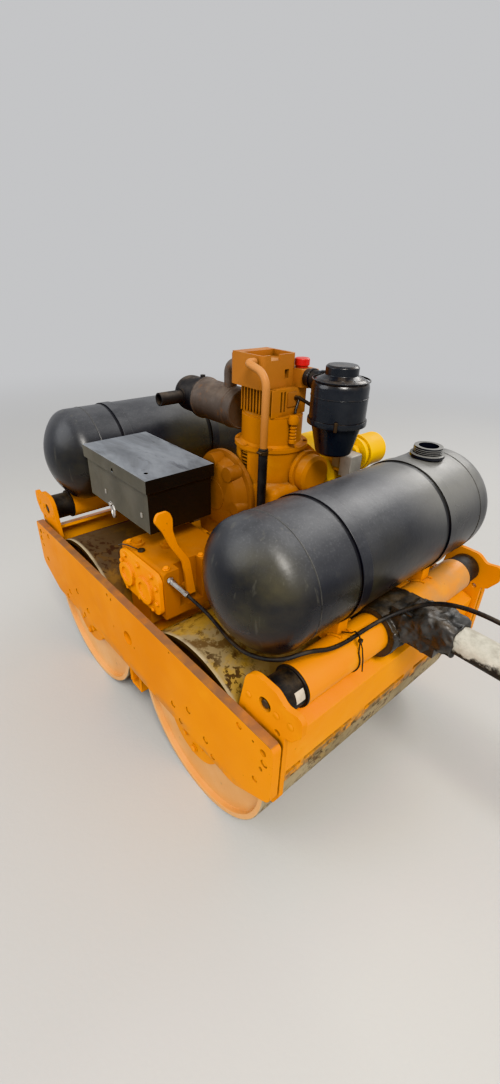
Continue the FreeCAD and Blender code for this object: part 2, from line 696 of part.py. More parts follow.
# Tank cradles: saddles on the frame rails, and tabs from the cross tube up to each strap
for (label, tank_x, shift, length), (axle_label, axle_x, outward) in zip(TANKS, AXLES):
    tube_x = axle_x + outward * tube_back
    tab_length = outward * (tube_x - tank_x) * 0.85
    saddles = [block(f"saddle_{label}_{side_label}",
                     (S["saddle_length"], S["rail_width"], S["saddle_height"]),
                     (tank_x, side * S["rail_spread"]), rail_top) for side_label, side in SIDES]
    tabs = [block(f"tab_{label}_{side_label}", (tab_length, S["strap_width"], S["saddle_height"] * 1.4),
                  ((tank_x + tube_x) / 2, side * S["strap_spread"]), rail_top) for side_label, side in SIDES]
    span = S["strap_spread"] * 4
    tank_room = rod(f"tank_room_{label}", "Y", S["tank_radius"], span, (tank_x, -span / 2, tank_height))
    strap_room = rod(f"strap_room_{label}", "Y", strap_radius, span, (tank_x, -span / 2, tank_height))
    tube_room = rod(f"tube_room_{label}", "Y", S["tube_radius"], span, (tube_x, -span / 2, tube_height))
    seats = cut(f"saddles_{label}", fuse(f"saddle_pair_{label}", saddles), [tank_room, tube_room])
    lugs = cut(f"tabs_{label}", fuse(f"tab_pair_{label}", tabs), [strap_room, tube_room])
    node(f"tank_cradle_{label}", fuse(f"tank_cradle_{label}", [seats, lugs]))

# Gearbox: block casting with an open bay at the rear, its lower part between the drums
gear_x = middle_x - S["gearbox_back"]
gear_rear = gear_x - S["gearbox_length"] / 2
gear_right = S["rail_spread"] + S["rail_width"] / 2
gear_left = half_width - S["gearbox_inset"]
gear_width = gear_left - gear_right
gear_y = (gear_left + gear_right) / 2
gear_outline = [
    (gear_right, gearbox_foot), (gear_left, gearbox_foot), (gear_left, gearbox_top),
    (gear_right, gearbox_top),
]
upper = slab("gearbox_upper", "YZ_Plane", S["gearbox_length"], gear_outline, (), {2: 10, 3: 10})
place(upper, gear_x, 0, 0)
lower = block("gearbox_lower", (96, gear_width, 70), (middle_x, gear_y), gearbox_foot - 63)
bay_width = 66
bay = block("gearbox_bay", (52, bay_width, gearbox_top - gearbox_foot),
            (gear_rear, gear_left - 42 - bay_width / 2),
            gearbox_foot + 22)
# ahead of the gearbox's middle, inward from its left face, radius, height
GEARBOX_PLUGS = ((60, 24, 17, 7), (60, 24, 10, 15), (9, 78, 17, 7), (9, 78, 10, 15))
plugs = [rod(f"gearbox_plug_{index}", "Z", radius, height, (gear_x + ahead, gear_left - inward, gearbox_top))
         for index, (ahead, inward, radius, height) in enumerate(GEARBOX_PLUGS)]
node("gearbox_housing", fuse("gearbox_housing", [cut("gearbox_case", upper, [bay]), lower] + plugs))

cover_wall = S["gearbox_cover_wall"]
cover_back = 94
cover_outline = [(-cover_back, gearbox_foot + 8), (cover_back, gearbox_foot + 8),
                 (cover_back, gearbox_top - 8),
                 (-cover_back, gearbox_top - 8)]
cover = slab("gearbox_cover_plate", "XZ_Plane", cover_wall, cover_outline, (), {0: 22, 1: 22, 2: 22, 3: 22})
caps = [place(cover, gear_x, gear_left + cover_wall / 2, 0)]
# ahead of the gearbox's middle, above its shoulder, radius, recess radius
for index, (offset, height, radius, recess) in enumerate(((55, 64, 33, 20), (-31, 58, 36, 23))):
    disc = rod(f"gearbox_cap_{index}_disc", "Y", radius, cover_wall + S["cap_rise"],
               (gear_x + offset, gear_left, gearbox_foot + height))
    dent = rod(f"gearbox_cap_{index}_dent", "Y", recess, S["cap_rise"],
               (gear_x + offset, gear_left + cover_wall + S["cap_rise"] / 2, gearbox_foot + height))
    caps.append(cut(f"gearbox_cap_{index}", disc, [dent]))
node("gearbox_cover", fuse("gearbox_cover", caps))

# Gear lever: flat bar that rises from the bay, leans outwards and widens to a rounded head
LEVER_OUTLINE = (
    # y from the lever's foot, height above the foot, corner radius
    (-11, 0, 0), (11, 0, 0), (21, 97, 60), (52, 151, 60), (68, 190, 30), (88, 222, 12),
    (80, 240, 10), (50, 240, 14), (43, 218, 14), (44, 190, 30), (34, 151, 60), (2, 97, 60),
)
lever_corners = {index: radius for index, (y, height, radius) in enumerate(LEVER_OUTLINE) if radius}
lever = slab("gear_lever", "YZ_Plane", 8, [(y, height) for y, height, radius in LEVER_OUTLINE], (),
             lever_corners)
lever_foot = gearbox_foot + 54
place(lever, gear_rear - 4, gear_left - 71, lever_foot)
lever_pin = rod("gear_lever_pin", "X", 8, 34, (gear_rear - 8, gear_left - 71, lever_foot + 9))
node("gear_lever", fuse("gear_lever", [lever, lever_pin]))

# Battery box with a lift-off lid
box_x = front_tank_x - S["tank_radius"] - S["box_front_gap"] - S["box_length"] / 2
box_y = S["case_left"] + S["bell_depth"] + S["box_side_gap"] + S["box_width"] / 2
lid_inner = S["lid_play"] + S["box_wall"]
box_outer = (S["box_length"] - lid_inner * 2, S["box_width"] - lid_inner * 2)
box_rim = box_top - S["box_wall"]
box_skin = block("battery_box_skin", (box_outer[0], box_outer[1], box_rim - box_foot), (box_x, box_y),
                 box_foot)
box_inner = (box_outer[0] - S["box_wall"] * 2, box_outer[1] - S["box_wall"] * 2, box_rim - box_foot)
box_room = block("battery_box_room", box_inner, (box_x, box_y), box_foot + S["box_wall"])
node("battery_box", cut("battery_box", box_skin, [box_room]))

lid_foot = box_top - S["lid_skirt"]
lid_skin = block("battery_lid_skin", (S["box_length"], S["box_width"], S["lid_skirt"]), (box_x, box_y),
                 lid_foot)
lid_hollow = (S["box_length"] - S["box_wall"] * 2, S["box_width"] - S["box_wall"] * 2, S["lid_skirt"])
lid_room = block("battery_lid_room", lid_hollow, (box_x, box_y), lid_foot - S["box_wall"])
lid_hole = rod("battery_lid_hole", "Z", 5, S["box_wall"] * 3,
               (box_x - 122, box_y + 70, box_top - S["box_wall"] * 2))
skirt_hole = rod("battery_lid_skirt_hole", "Y", 5, S["box_wall"] * 3,
                 (box_x, box_y + S["box_width"] / 2 - S["box_wall"] * 2, box_top - 24))
node("battery_lid", cut("battery_lid", lid_skin, [lid_room, lid_hole, skirt_hole]))

# Bracket that carries the battery box on the left rail
shelf_foot = box_foot - S["shelf_wall"]
shelf_width = 160
shelf_size = (S["box_length"] - 120, shelf_width, S["shelf_wall"])
shelf = block("battery_shelf", shelf_size, (box_x + 20, box_y - 22), shelf_foot)
post_size = (30, 40, shelf_foot - rail_top)
posts = [block(f"battery_post_{index}", post_size, (box_x + offset, S["rail_spread"]), rail_top)
         for index, offset in enumerate((-10, 90))]
node("battery_bracket", fuse("battery_bracket", [shelf] + posts))

# Heights on the engine, from the bed up
crank_height = bed_top + S["crank_rise"]
case_top = bed_top + S["case_height"]
deck = case_top + S["neck_case_height"]
barrel_foot = deck + S["barrel_flange"]
fin_foot = barrel_foot + S["barrel_height"]
cowl_foot = fin_foot + S["fin_height"]
cowl_top = cowl_foot + S["cowl_height"]

# Crankcase: drafted block, round top with a cooling slot, a round cover at the rear and the breather's stub
case_left = S["case_left"]
case_right = case_left - S["case_width"]
case_y = (case_left + case_right) / 2
case_x = engine_x + 8
case_rear = case_x - S["case_length"] / 2
case = block("crankcase_block", (S["case_length"], S["case_width"], S["case_height"]), (case_x, case_y),
             bed_top)
case_soft = soft_edges("crankcase_soft", case, 18,
                       lambda box: box.ZLength > 100 or box.ZMin > case_top.number - 1)
neck_buried = 30
neck = rod("crankcase_neck", "Z", S["neck_case_radius"], S["neck_case_height"] + neck_buried,
           (engine_x, engine_y, case_top - neck_buried))
rear_cover = turned("crankcase_rear_cover", "X", (
    (0, 0), (40, 0), (49, 6), (49, 30), (56, 30), (56, 40), (50, 40), (50, 110), (0, 110),
))
place(rear_cover, case_rear - 22, engine_y - 32, crank_height + 76)
louvre_height = 52
louvre_foot = deck - louvre_height - 6
louvre_y = engine_y + S["neck_case_radius"]
louvre = block("crankcase_louvre", (28, 40, louvre_height), (engine_x + 5, louvre_y), louvre_foot)
ribs = [block(f"crankcase_rib_{index}", (28, 26, 3), (engine_x + 5, louvre_y - 20),
              louvre_foot + 7 + index * 9)
        for index in range(5)]
stub_x = engine_x - 81
stub_y = case_left + 14
stub = rod("crankcase_stub", "Z", 14, 26, (stub_x, stub_y, crank_height - 18))
stub_web = block("crankcase_stub_web", (20, 20, 24), (stub_x, case_left + 2), crank_height - 17)
open_neck = fuse("crankcase_open_neck", [cut("crankcase_slotted", neck, [louvre])] + ribs)
node("engine_crankcase", fuse("engine_crankcase", [case_soft, open_neck, rear_cover, stub, stub_web]))

# Barrel: flange and smooth part below, cooling fins between it and the cowl
barrel = turned("engine_barrel_body", "Z", (
    (0, 0), (S["neck_case_radius"] + 5, 0), (S["neck_case_radius"] + 5, S["barrel_flange"]),
    (S["barrel_radius"] + 5, S["barrel_flange"]), (S["barrel_radius"], S["barrel_flange"] + 6),
    (S["barrel_radius"], fin_foot - deck - 4), (S["barrel_radius"] - 4, fin_foot - deck - 4),
    (S["barrel_radius"] - 4, fin_foot - deck), (0, fin_foot - deck),
))
place(barrel, engine_x, engine_y, deck)


def fin_outline(half, depth, pitch, gap):
    """Square block with vertical fins along both sides, seen from above."""
    outline = [(-half, -half + depth)]
    for side in (-1, 1):
        edge = side * half
        floor = side * (half - depth)
        count = int((half.number * 2 - gap.number) / pitch.number)
        margin = (half * 2 - pitch * count - gap) / 2
        for number in range(count + 1):
            low = half * side - side * (margin + pitch * number)
            high = low - side * gap
            outline += [(-low, edge), (-low, floor), (-high, floor), (-high, edge)] if number else [
                (-half * side, edge), (-low, edge), (-low, floor), (-high, floor), (-high, edge)]
        outline.append((half * side, edge))
        outline.append((half * side, floor))
    return outline[1:]


fin_half = S["fin_block"] / 2
fin_block_outline = fin_outline(fin_half, S["fin_depth"], S["fin_pitch"], S["fin_gap"])
fins = slab("engine_fins", "XY_Plane", S["fin_height"], fin_block_outline)
place(fins, engine_x, engine_y, fin_foot + S["fin_height"] / 2)
slot_size = (16, 5, S["fin_height"] - 16)
rear_slots = [block(f"engine_fin_slot_{index}", slot_size, (engine_x - fin_half, engine_y + across),
                    fin_foot + 10)
              for index, across in enumerate((16, 27))]
node("engine_barrel", fuse("engine_barrel", [barrel, cut("engine_fins_slotted", fins, rear_slots)]))

# Head cowl: rounded block with a sunk top behind a raised rim, and the intake shoulder on its right
cowl_x = engine_x + 20
cowl_y = engine_y + 22
cowl_half = S["cowl_length"] / 2
cowl_side = S["cowl_width"] / 2
cowl_outline = [
    (-cowl_half, -cowl_side), (cowl_half, -cowl_side), (cowl_half, cowl_side), (-cowl_half, cowl_side),
]
cowl = slab("engine_cowl", "XY_Plane", S["cowl_height"], cowl_outline, (), {0: 12, 1: 18, 2: 18, 3: 12})
place(cowl, cowl_x, cowl_y, cowl_foot + S["cowl_height"] / 2)
rim_wall = 7
well_depth = 14
well = block("engine_cowl_well", (S["cowl_length"] - 52, S["cowl_width"] - rim_wall * 2, well_depth + 1),
             (cowl_x - cowl_half + rim_wall + (S["cowl_length"] - 52) / 2, cowl_y), cowl_top - well_depth)
notch = block("engine_cowl_notch", (rim_wall * 3, 30, well_depth), (cowl_x - cowl_half, cowl_y + 14),
              cowl_top - well_depth + 2)
lamp_hole = block("engine_cowl_hole", (26, 13, 20), (cowl_x - cowl_half, cowl_y - 24), cowl_foot + 20)
shelf_step = block("engine_cowl_step", (26, S["cowl_width"] * 2, 12), (cowl_x + cowl_half, cowl_y),
                   cowl_top - 6)
cowl_cut = cut("engine_cowl_cut", cowl, [well, notch, lamp_hole, shelf_step])
port_reach = 20
port_outline = [(-46, 0), (22, 0), (22, 56), (-46, 56)]
port_boss = slab("engine_port_boss", "YZ_Plane", port_reach, port_outline, (), {2: 20, 3: 12})
place(port_boss, cowl_x + cowl_half + port_reach / 2, cowl_y, cowl_foot + 12)
shoulder_outline = [(-16, 8), (-46, 8), (-60, -4), (-60, -38), (10, -44), (60, -32), (60, 8)]
shoulder_height = S["cowl_height"] - 34
shoulder = slab("engine_intake_shoulder", "XY_Plane", shoulder_height, shoulder_outline, (),
                {2: 8, 3: 8, 4: 20, 5: 8})
place(shoulder, cowl_x - 40, cowl_y - cowl_side, cowl_foot + shoulder_height / 2)
node("engine_head", fuse("engine_head", [cowl_cut, port_boss, shoulder]))
cap_foot = cowl_foot + shoulder_height
fuel_cap = turned("fuel_cap", "Z", ((0, 0), (15, 0), (15, 5), (18, 6), (18, 20), (16, 22), (0, 22)))
node("fuel_cap", place(fuel_cap, cowl_x - 60, cowl_y - cowl_side - 18, cap_foot))

# Flywheel housing with its cooling air inlet, and the starter motor behind it
fly_length = S["flywheel_length"]
fly_radius = S["flywheel_radius"]
inlet = 76
fly = turned("flywheel_body", "Y", (
    (30, 14), (inlet, 14), (inlet, 0), (fly_radius - 14, 0), (fly_radius, 14), (fly_radius, fly_length),
    (0, fly_length), (0, 8), (30, 8),
))
place(fly, engine_x, case_right - fly_length, crank_height)
spokes = []
for index in range(8):
    spoke = doc.addObject("Part::Box", f"flywheel_spoke_{index}")
    for key, value in (("Length", inlet - 25), ("Width", 5), ("Height", 6)):
        bind(spoke, key, value)
    angle = math.radians(45 * index)
    turn(spoke, (0, 1, 0), -math.degrees(angle))
    along = 28 * math.cos(angle) + 3 * math.sin(angle)
    above = 28 * math.sin(angle) - 3 * math.cos(angle)
    spokes.append(place(spoke, engine_x + along, case_right - fly_length + 9, crank_height + above))
starter = turned("starter_motor", "Y", (
    (0, 0, 62), (34, 12), (43, 22), (43, 84), (47, 84), (47, 92), (40, 92), (40, 102), (44, 102), (44, 110),
    (26, 110), (26, 124), (0, 124),
))
place(starter, engine_x - 126, case_right - 190, crank_height + 100)
starter_arm = block("starter_arm", (78, 40, 56), (engine_x - 92, case_right - 50), crank_height + 62)
node("flywheel_housing", fuse("flywheel_housing", [fly, starter, starter_arm] + spokes))

# Clutch housing: bell on the crankcase's left face, a foot on the bed and an arm to the gearbox
bell_x = engine_x + 69
bell_depth = S["bell_depth"]
bell = turned("clutch_bell", "Y", (
    (0, 0), (S["bell_radius"], 0), (S["bell_radius"], S["bell_wall"]),
    (S["bell_radius"] - 14, S["bell_wall"]),
    (S["bell_radius"] - 24, bell_depth - 8), (S["bell_radius"] - 34, bell_depth - 2), (42, bell_depth - 2),
    (42, bell_depth), (0, bell_depth),
))
place(bell, bell_x, case_left, crank_height)
foot_depth = bell_depth - 6
foot_outline = [(-88, crank_height), (-66, bed_top), (66, bed_top), (88, crank_height)]
foot = slab("clutch_foot", "XZ_Plane", foot_depth, foot_outline, (), {1: 8, 2: 8})
place(foot, bell_x, case_left + foot_depth / 2, 0)
# ahead of the bell's axis, above it, radius
BELL_BOSSES = ((12, 85, 22), (-56, 71, 19), (85, 20, 19), (-85, -12, 16))
bosses = [rod(f"clutch_boss_{index}", "Y", radius, bell_depth,
              (bell_x + ahead, case_left, crank_height + above))
          for index, (ahead, above, radius) in enumerate(BELL_BOSSES)]
shaft_tube = rod("clutch_shaft_tube", "Y", 13, gear_right - case_left - foot_depth,
                 (gear_x, case_left + foot_depth, bed_top + 14))
node("clutch_housing", fuse("clutch_housing", [bell, foot, shaft_tube] + bosses))

# Muffler along X ahead of the head: ribbed part, domed black end, outlet turned to the left
muffler_height = cowl_foot - 80
muffler_x = cowl_x + 75
muffler_y = engine_y + 14
r_muffler = S["muffler_radius"]
end_start = S["muffler_length"] + 4
muffler = turned("muffler_body", "X", (
    (0, 3), (8, 3), (8, 0), (12, 0), (12, 3), (r_muffler - 5, 3), (r_muffler - 3, 0), (r_muffler, 2),
    (r_muffler + 1, 30), (r_muffler + 3, 32), (r_muffler + 3, 36), (r_muffler + 1, 38),
    (r_muffler + 3, S["muffler_length"] - 6), (r_muffler + 6, S["muffler_length"] - 4),
    (r_muffler + 6, end_start),
    (r_muffler - 1, end_start + 4), (r_muffler - 1, end_start + 64, r_muffler - 1),
    (0, end_start + 64 + r_muffler - 1),
))
place(muffler, muffler_x, muffler_y, muffler_height)
outlet_x = muffler_x + end_start + 50
socket_length = S["outlet_length"] - S["outlet_bare"]
outlet_foot = (outlet_x, muffler_y, muffler_height)
outlet = rod("muffler_outlet", "Y", S["outlet_radius"], S["outlet_length"], outlet_foot)
outlet_socket = rod("muffler_outlet_socket", "Y", S["outlet_radius"] + 4, socket_length, outlet_foot)
outlet_bore = rod("muffler_outlet_bore", "Y", S["outlet_radius"] - 4, S["outlet_bare"],
                  (outlet_x, muffler_y + socket_length + 1, muffler_height))
bracket_foot = (muffler_x + end_start + 10, muffler_y, muffler_height + r_muffler - 3)
bracket_stub = rod("muffler_stub", "Z", 7, 12, bracket_foot)
elbow = doc.addObject("Part::Feature", "exhaust_elbow")
elbow_height = cowl_foot + 27
elbow_x = muffler_x + 54
port_x = cowl_x + cowl_half + port_reach
elbow_route = (
    (port_x, muffler_y, elbow_height), (elbow_x, muffler_y, elbow_height),
    (elbow_x, muffler_y, muffler_height + 30),
)
elbow.Shape = tube_along(elbow_route, Size.of(17))
port = rod("exhaust_port_flange", "X", 27, 8, (port_x, muffler_y, elbow_height))
closed = fuse("muffler_closed", [muffler, outlet, outlet_socket, bracket_stub])
silencer = cut("muffler_outlet_open", closed, [outlet_bore])
node("muffler", fuse("muffler", [silencer, elbow, port]))

# Air cleaner behind the head: cap, body, clamp band and tapered bowl
cleaner_x = engine_x - 186
cleaner_y = engine_y - 21
bowl_foot = tank_height + S["tank_radius"] + S["cleaner_clear"]
body_foot = cowl_foot - 44
body_top = cowl_top - 30
r_cleaner = S["cleaner_radius"]
cleaner = turned("air_cleaner", "Z", (
    (0, bowl_foot), (r_cleaner - 28, bowl_foot, 8), (r_cleaner - 21, bowl_foot + 7),
    (r_cleaner - 7, body_foot - 14),
    (r_cleaner - 2, body_foot - 14), (r_cleaner - 2, body_foot), (r_cleaner, body_foot),
    (r_cleaner, body_top - 18, 20), (r_cleaner - 16, body_top), (r_cleaner - 27, body_top + 6),
    (r_cleaner - 27, cowl_top - 8), (r_cleaner - 31, cowl_top - 4), (0, cowl_top - 4),
))
node("air_cleaner", place(cleaner, cleaner_x, cleaner_y, 0))
intake_height = cowl_foot + 24
intake_y = cleaner_y - 17
intake_end = cowl_x - 94
intake = rod("intake_run", "X", 20, intake_end - cleaner_x, (cleaner_x, intake_y, intake_height))
intake_room = rod("intake_room", "Z", r_cleaner, S["cowl_height"] * 3, (cleaner_x, cleaner_y, body_foot))
node("intake_pipe", cut("intake_pipe", intake, [intake_room, shoulder]))

# Breather: pipe from the head cowl, and a hose down to the crankcase's stub
hose_top = deck + 26
pipe_route = (
    (cowl_x - 36, cowl_y + cowl_side, cowl_top - 14), (cowl_x - 36, cowl_y + cowl_side + 24, cowl_top - 14),
    (stub_x, stub_y, cowl_top - 30), (stub_x, stub_y, hose_top),
)
hose_route = ((stub_x, stub_y, hose_top), (stub_x, stub_y, crank_height + 8))
BREATHER = (
    # piece, radius, route
    ("breather_pipe", S["breather_radius"], pipe_route),
    ("breather_hose", S["breather_hose_radius"], hose_route),
)
for name, radius, route in BREATHER:
    pipe = doc.addObject("Part::Feature", name)
    pipe.Shape = tube_along(route, radius)
    node(name, pipe)

# Tiller: collar on the rear cross tube, tube and handle
pivot_x = rear_axle - tube_back
tiller_height = tube_height + S["tiller_rise"]
collar_bore = S["tube_radius"] + S["collar_play"]
collar = rod("tiller_collar_ring", "Y", collar_outer, S["collar_width"],
             (pivot_x, -S["collar_width"] / 2, tube_height))
collar_hole = rod("tiller_collar_hole", "Y", collar_bore, S["collar_width"] + 2,
                  (pivot_x, -S["collar_width"] / 2 - 1, tube_height))
collar_arm = block("tiller_collar_arm", (110, 76, 70), (pivot_x - 80, Size.of(0)), tiller_height - 48)
tube_start = pivot_x - 70
tube_end = tube_start - S["tiller_length"]
socket = rod("tiller_socket", "X", S["tiller_radius"] + 5, 100, (tube_start - 90, Size.of(0), tiller_height))
collar_body = fuse("tiller_collar_body", [collar, collar_arm, socket])
tube_room = rod("tiller_tube_room", "X", S["tiller_radius"], S["tiller_length"],
                (tube_end, Size.of(0), tiller_height))
node("tiller_collar", cut("tiller_collar", collar_body, [collar_hole, tube_room]))

tube_outer = rod("tiller_tube_outer", "X", S["tiller_radius"], S["tiller_length"],
                 (tube_end, Size.of(0), tiller_height))
tube_inner = rod("tiller_tube_inner", "X", S["tiller_radius"] - S["tiller_wall"], S["tiller_length"] - 20,
                 (tube_end + 10, Size.of(0), tiller_height))
node("tiller_tube", cut("tiller_tube", tube_outer, [tube_inner]))

handle_radius = S["handle_radius"]
handle_half = S["handle_width"] / 2
handle_x = rear_axle - S["rear_reach"] + handle_radius
near_bar_x = tube_end - handle_radius
bars = [rod(f"handle_bar_{index}", "Y", handle_radius, S["handle_width"],
            (bar_x, -handle_half, tiller_height))
        for index, bar_x in enumerate((handle_x, near_bar_x))]
arms = [rod(f"handle_arm_{label}", "X", handle_radius, near_bar_x - handle_x,
            (handle_x, side * handle_half, tiller_height))
        for label, side in SIDES]
corners = []
for label, side in SIDES:
    for number, corner_x in enumerate((handle_x, near_bar_x)):
        ball = doc.addObject("Part::Sphere", f"handle_corner_{label}_{number}")
        bind(ball, "Radius", handle_radius)
        corners.append(place(ball, corner_x, side * handle_half, tiller_height))
node("handle", fuse("handle", bars + arms + corners))

# Travel lever on the tiller, ahead of the handle
lever_x = tube_end + 120
saddle_foot = tiller_height + S["tiller_radius"] - 12
bracket_block = block("travel_lever_bracket_block", (60, 40, 60), (lever_x, Size.of(0)), saddle_foot)
bracket_room = rod("travel_lever_room", "X", S["tiller_radius"], 100,
                   (lever_x - 50, Size.of(0), tiller_height))
bracket = cut("travel_lever_bracket", bracket_block, [bracket_room])
stalk = rod("travel_lever_stalk", "Z", 7, 190, (lever_x, Size.of(0), saddle_foot + 52))
knob = doc.addObject("Part::Sphere", "travel_lever_knob")
bind(knob, "Radius", 18)
place(knob, lever_x, 0, saddle_foot + 244)
node("travel_lever", fuse("travel_lever", [bracket, stalk, knob]))

# Control cable: ferrule at the gearbox, one stretch to the tie on the cross tube, one along the tiller
FRAME_ROUTE = (
    # x from the rear axle, y, height
    (98, 317, 541), (50, 306, 524), (-10, 312, 518), (-74, 332, 532), (-146, 346, 552),
    (-220, 336, 584),
    (-244, 286, 598),
    (-257, 222, 574), (-257, 165.3, 574),
)
TILLER_ROUTE = (
    (-257, 165, 574), (-257, 98, 574), (-282, 50, 596), (-326, 24, 632), (-392, 30, 664), (-480, 52, 684),
    (-600, 60, 676), (-720, 52, 650), (-840, 42, 622), (-960, 36, 606), (-1080, 30, 598), (-1180, 20, 606),
    (-1262, 6, 628),
)
for name, route in (("cable_front", FRAME_ROUTE), ("cable_rear", TILLER_ROUTE)):
    cable = doc.addObject("Part::Feature", name)
    cable.Shape = tube_along([(rear_axle + Size.of(x), y, z) for x, y, z in route], S["cable_radius"])
    node(name, cable)
ferrule_end = (rear_axle + Size.of(FRAME_ROUTE[0][0]), FRAME_ROUTE[0][1], FRAME_ROUTE[0][2])
ferrule = doc.addObject("Part::Feature", "cable_ferrule")
ferrule.Shape = tube_along(((gear_rear, gear_left - 13, gearbox_top - 18), ferrule_end), S["ferrule_radius"])
node("cable_ferrule", ferrule)

doc.recompute()

failed = [item.Name for item in doc.Objects if "Invalid" in item.State or "Error" in item.State]
if failed:
    raise RuntimeError(f"objects that failed: {failed}")

os.makedirs("parts", exist_ok=True)
for name, thing in nodes.items():
    shape = thing.Shape
    if shape.isNull() or not shape.isValid():
        raise RuntimeError(f"shape of {name} is not valid")
for name, thing in nodes.items():
    thing.Shape.exportStep(f"parts/{name}.step")
    print(name, round(thing.Shape.Volume / 1000), "cm3", len(thing.Shape.Solids), "solids")
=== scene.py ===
import json
import math

import bmesh
import bpy
from mathutils import Matrix, Vector, noise


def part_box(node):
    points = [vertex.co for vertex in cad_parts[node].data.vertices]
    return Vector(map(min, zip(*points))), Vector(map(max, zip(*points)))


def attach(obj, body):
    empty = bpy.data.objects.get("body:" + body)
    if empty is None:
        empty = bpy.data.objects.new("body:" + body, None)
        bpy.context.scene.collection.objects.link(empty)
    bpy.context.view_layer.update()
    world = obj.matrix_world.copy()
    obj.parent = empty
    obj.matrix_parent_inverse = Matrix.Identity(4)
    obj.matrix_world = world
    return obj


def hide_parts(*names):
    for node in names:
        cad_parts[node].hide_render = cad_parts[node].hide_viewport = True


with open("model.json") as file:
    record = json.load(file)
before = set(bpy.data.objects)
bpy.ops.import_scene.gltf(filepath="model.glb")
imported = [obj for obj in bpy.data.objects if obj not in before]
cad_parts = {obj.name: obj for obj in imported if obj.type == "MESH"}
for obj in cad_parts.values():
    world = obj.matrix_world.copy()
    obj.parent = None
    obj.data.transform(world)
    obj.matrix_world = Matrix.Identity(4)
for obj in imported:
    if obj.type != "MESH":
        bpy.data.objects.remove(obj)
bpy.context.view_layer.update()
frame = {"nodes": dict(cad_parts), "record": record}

record = frame["record"]
NODE_BODY = {node: body for body, nodes in record["behaviour"]["bodies"].items() for node in nodes}
NODE_SLOT = {row["node"]: row["material_slot"] for row in record["subparts"]}


# Places on the machine, in metres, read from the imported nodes

def middle(node):
    low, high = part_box(node)
    return (low + high) / 2


REAR_AXLE = middle("drum_rear")
FRONT_AXLE = middle("drum_front")
DRUM_RADIUS = REAR_AXLE.z
DRUM_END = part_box("buffers_rear")[1].y + 0.010
PLATE_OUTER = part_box("side_plate_left")[1].y
PLATE_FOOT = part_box("side_plate_left")[0].z
PLATE_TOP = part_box("side_plate_left")[1].z
CARRIER_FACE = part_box("bearing_carriers")[1].y
EAR_FACE = CARRIER_FACE - 0.006
CROSS_TUBE = middle("cross_tube_rear")
TUBE_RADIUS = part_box("cross_tube_rear")[1].z - CROSS_TUBE.z
TUBE_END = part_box("cross_tube_rear")[1].y
TANK_REAR = middle("tank_straps_rear")
TANK_FRONT = middle("tank_straps_front")
STRAP_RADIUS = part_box("tank_straps_rear")[1].z - TANK_REAR.z
TANK_RADIUS = STRAP_RADIUS - 0.003
STRAP_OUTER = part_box("tank_straps_rear")[1].y
CYLINDER = middle("engine_barrel")
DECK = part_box("engine_barrel")[0].z
COWL_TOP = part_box("engine_head")[1].z
CLEANER = middle("air_cleaner")
TILLER = middle("tiller_tube")
GEARBOX_LOW, GEARBOX_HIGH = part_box("gearbox_cover")
LID_LOW, LID_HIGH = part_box("battery_lid")
MUFFLER_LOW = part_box("muffler")[0]


def ahead(x, y, z):
    """Point x ahead of the rear axle, y left of the middle and z above the ground."""
    return Vector((REAR_AXLE.x + x, y, z))


# Camera at the photograph's angle

FOCAL_PIXELS = 477.7
PHOTO_HEIGHT = 1084
SENSOR = 36.0
CAMERA_PLACE = (-0.2518, 0.8115, 1.1993)
CAMERA_RIGHT = Vector((-0.65751, -0.75289, 0.02893))
CAMERA_UP = Vector((0.39065, -0.30783, 0.86754))


def camera():
    data = bpy.data.cameras.new("camera")
    data.sensor_width = SENSOR
    data.lens = FOCAL_PIXELS * SENSOR / PHOTO_HEIGHT
    data.clip_start = 0.05
    cam = bpy.data.objects.new("camera", data)
    right = CAMERA_RIGHT.normalized()
    back = right.cross(CAMERA_UP).normalized()
    up = back.cross(right)
    turn = Matrix((right, up, back)).transposed().to_4x4()
    cam.matrix_world = Matrix.Translation(CAMERA_PLACE) @ turn
    bpy.context.scene.collection.objects.link(cam)
    bpy.context.scene.camera = cam


camera()


# Node graphs: a short way to write the patterns of a finish

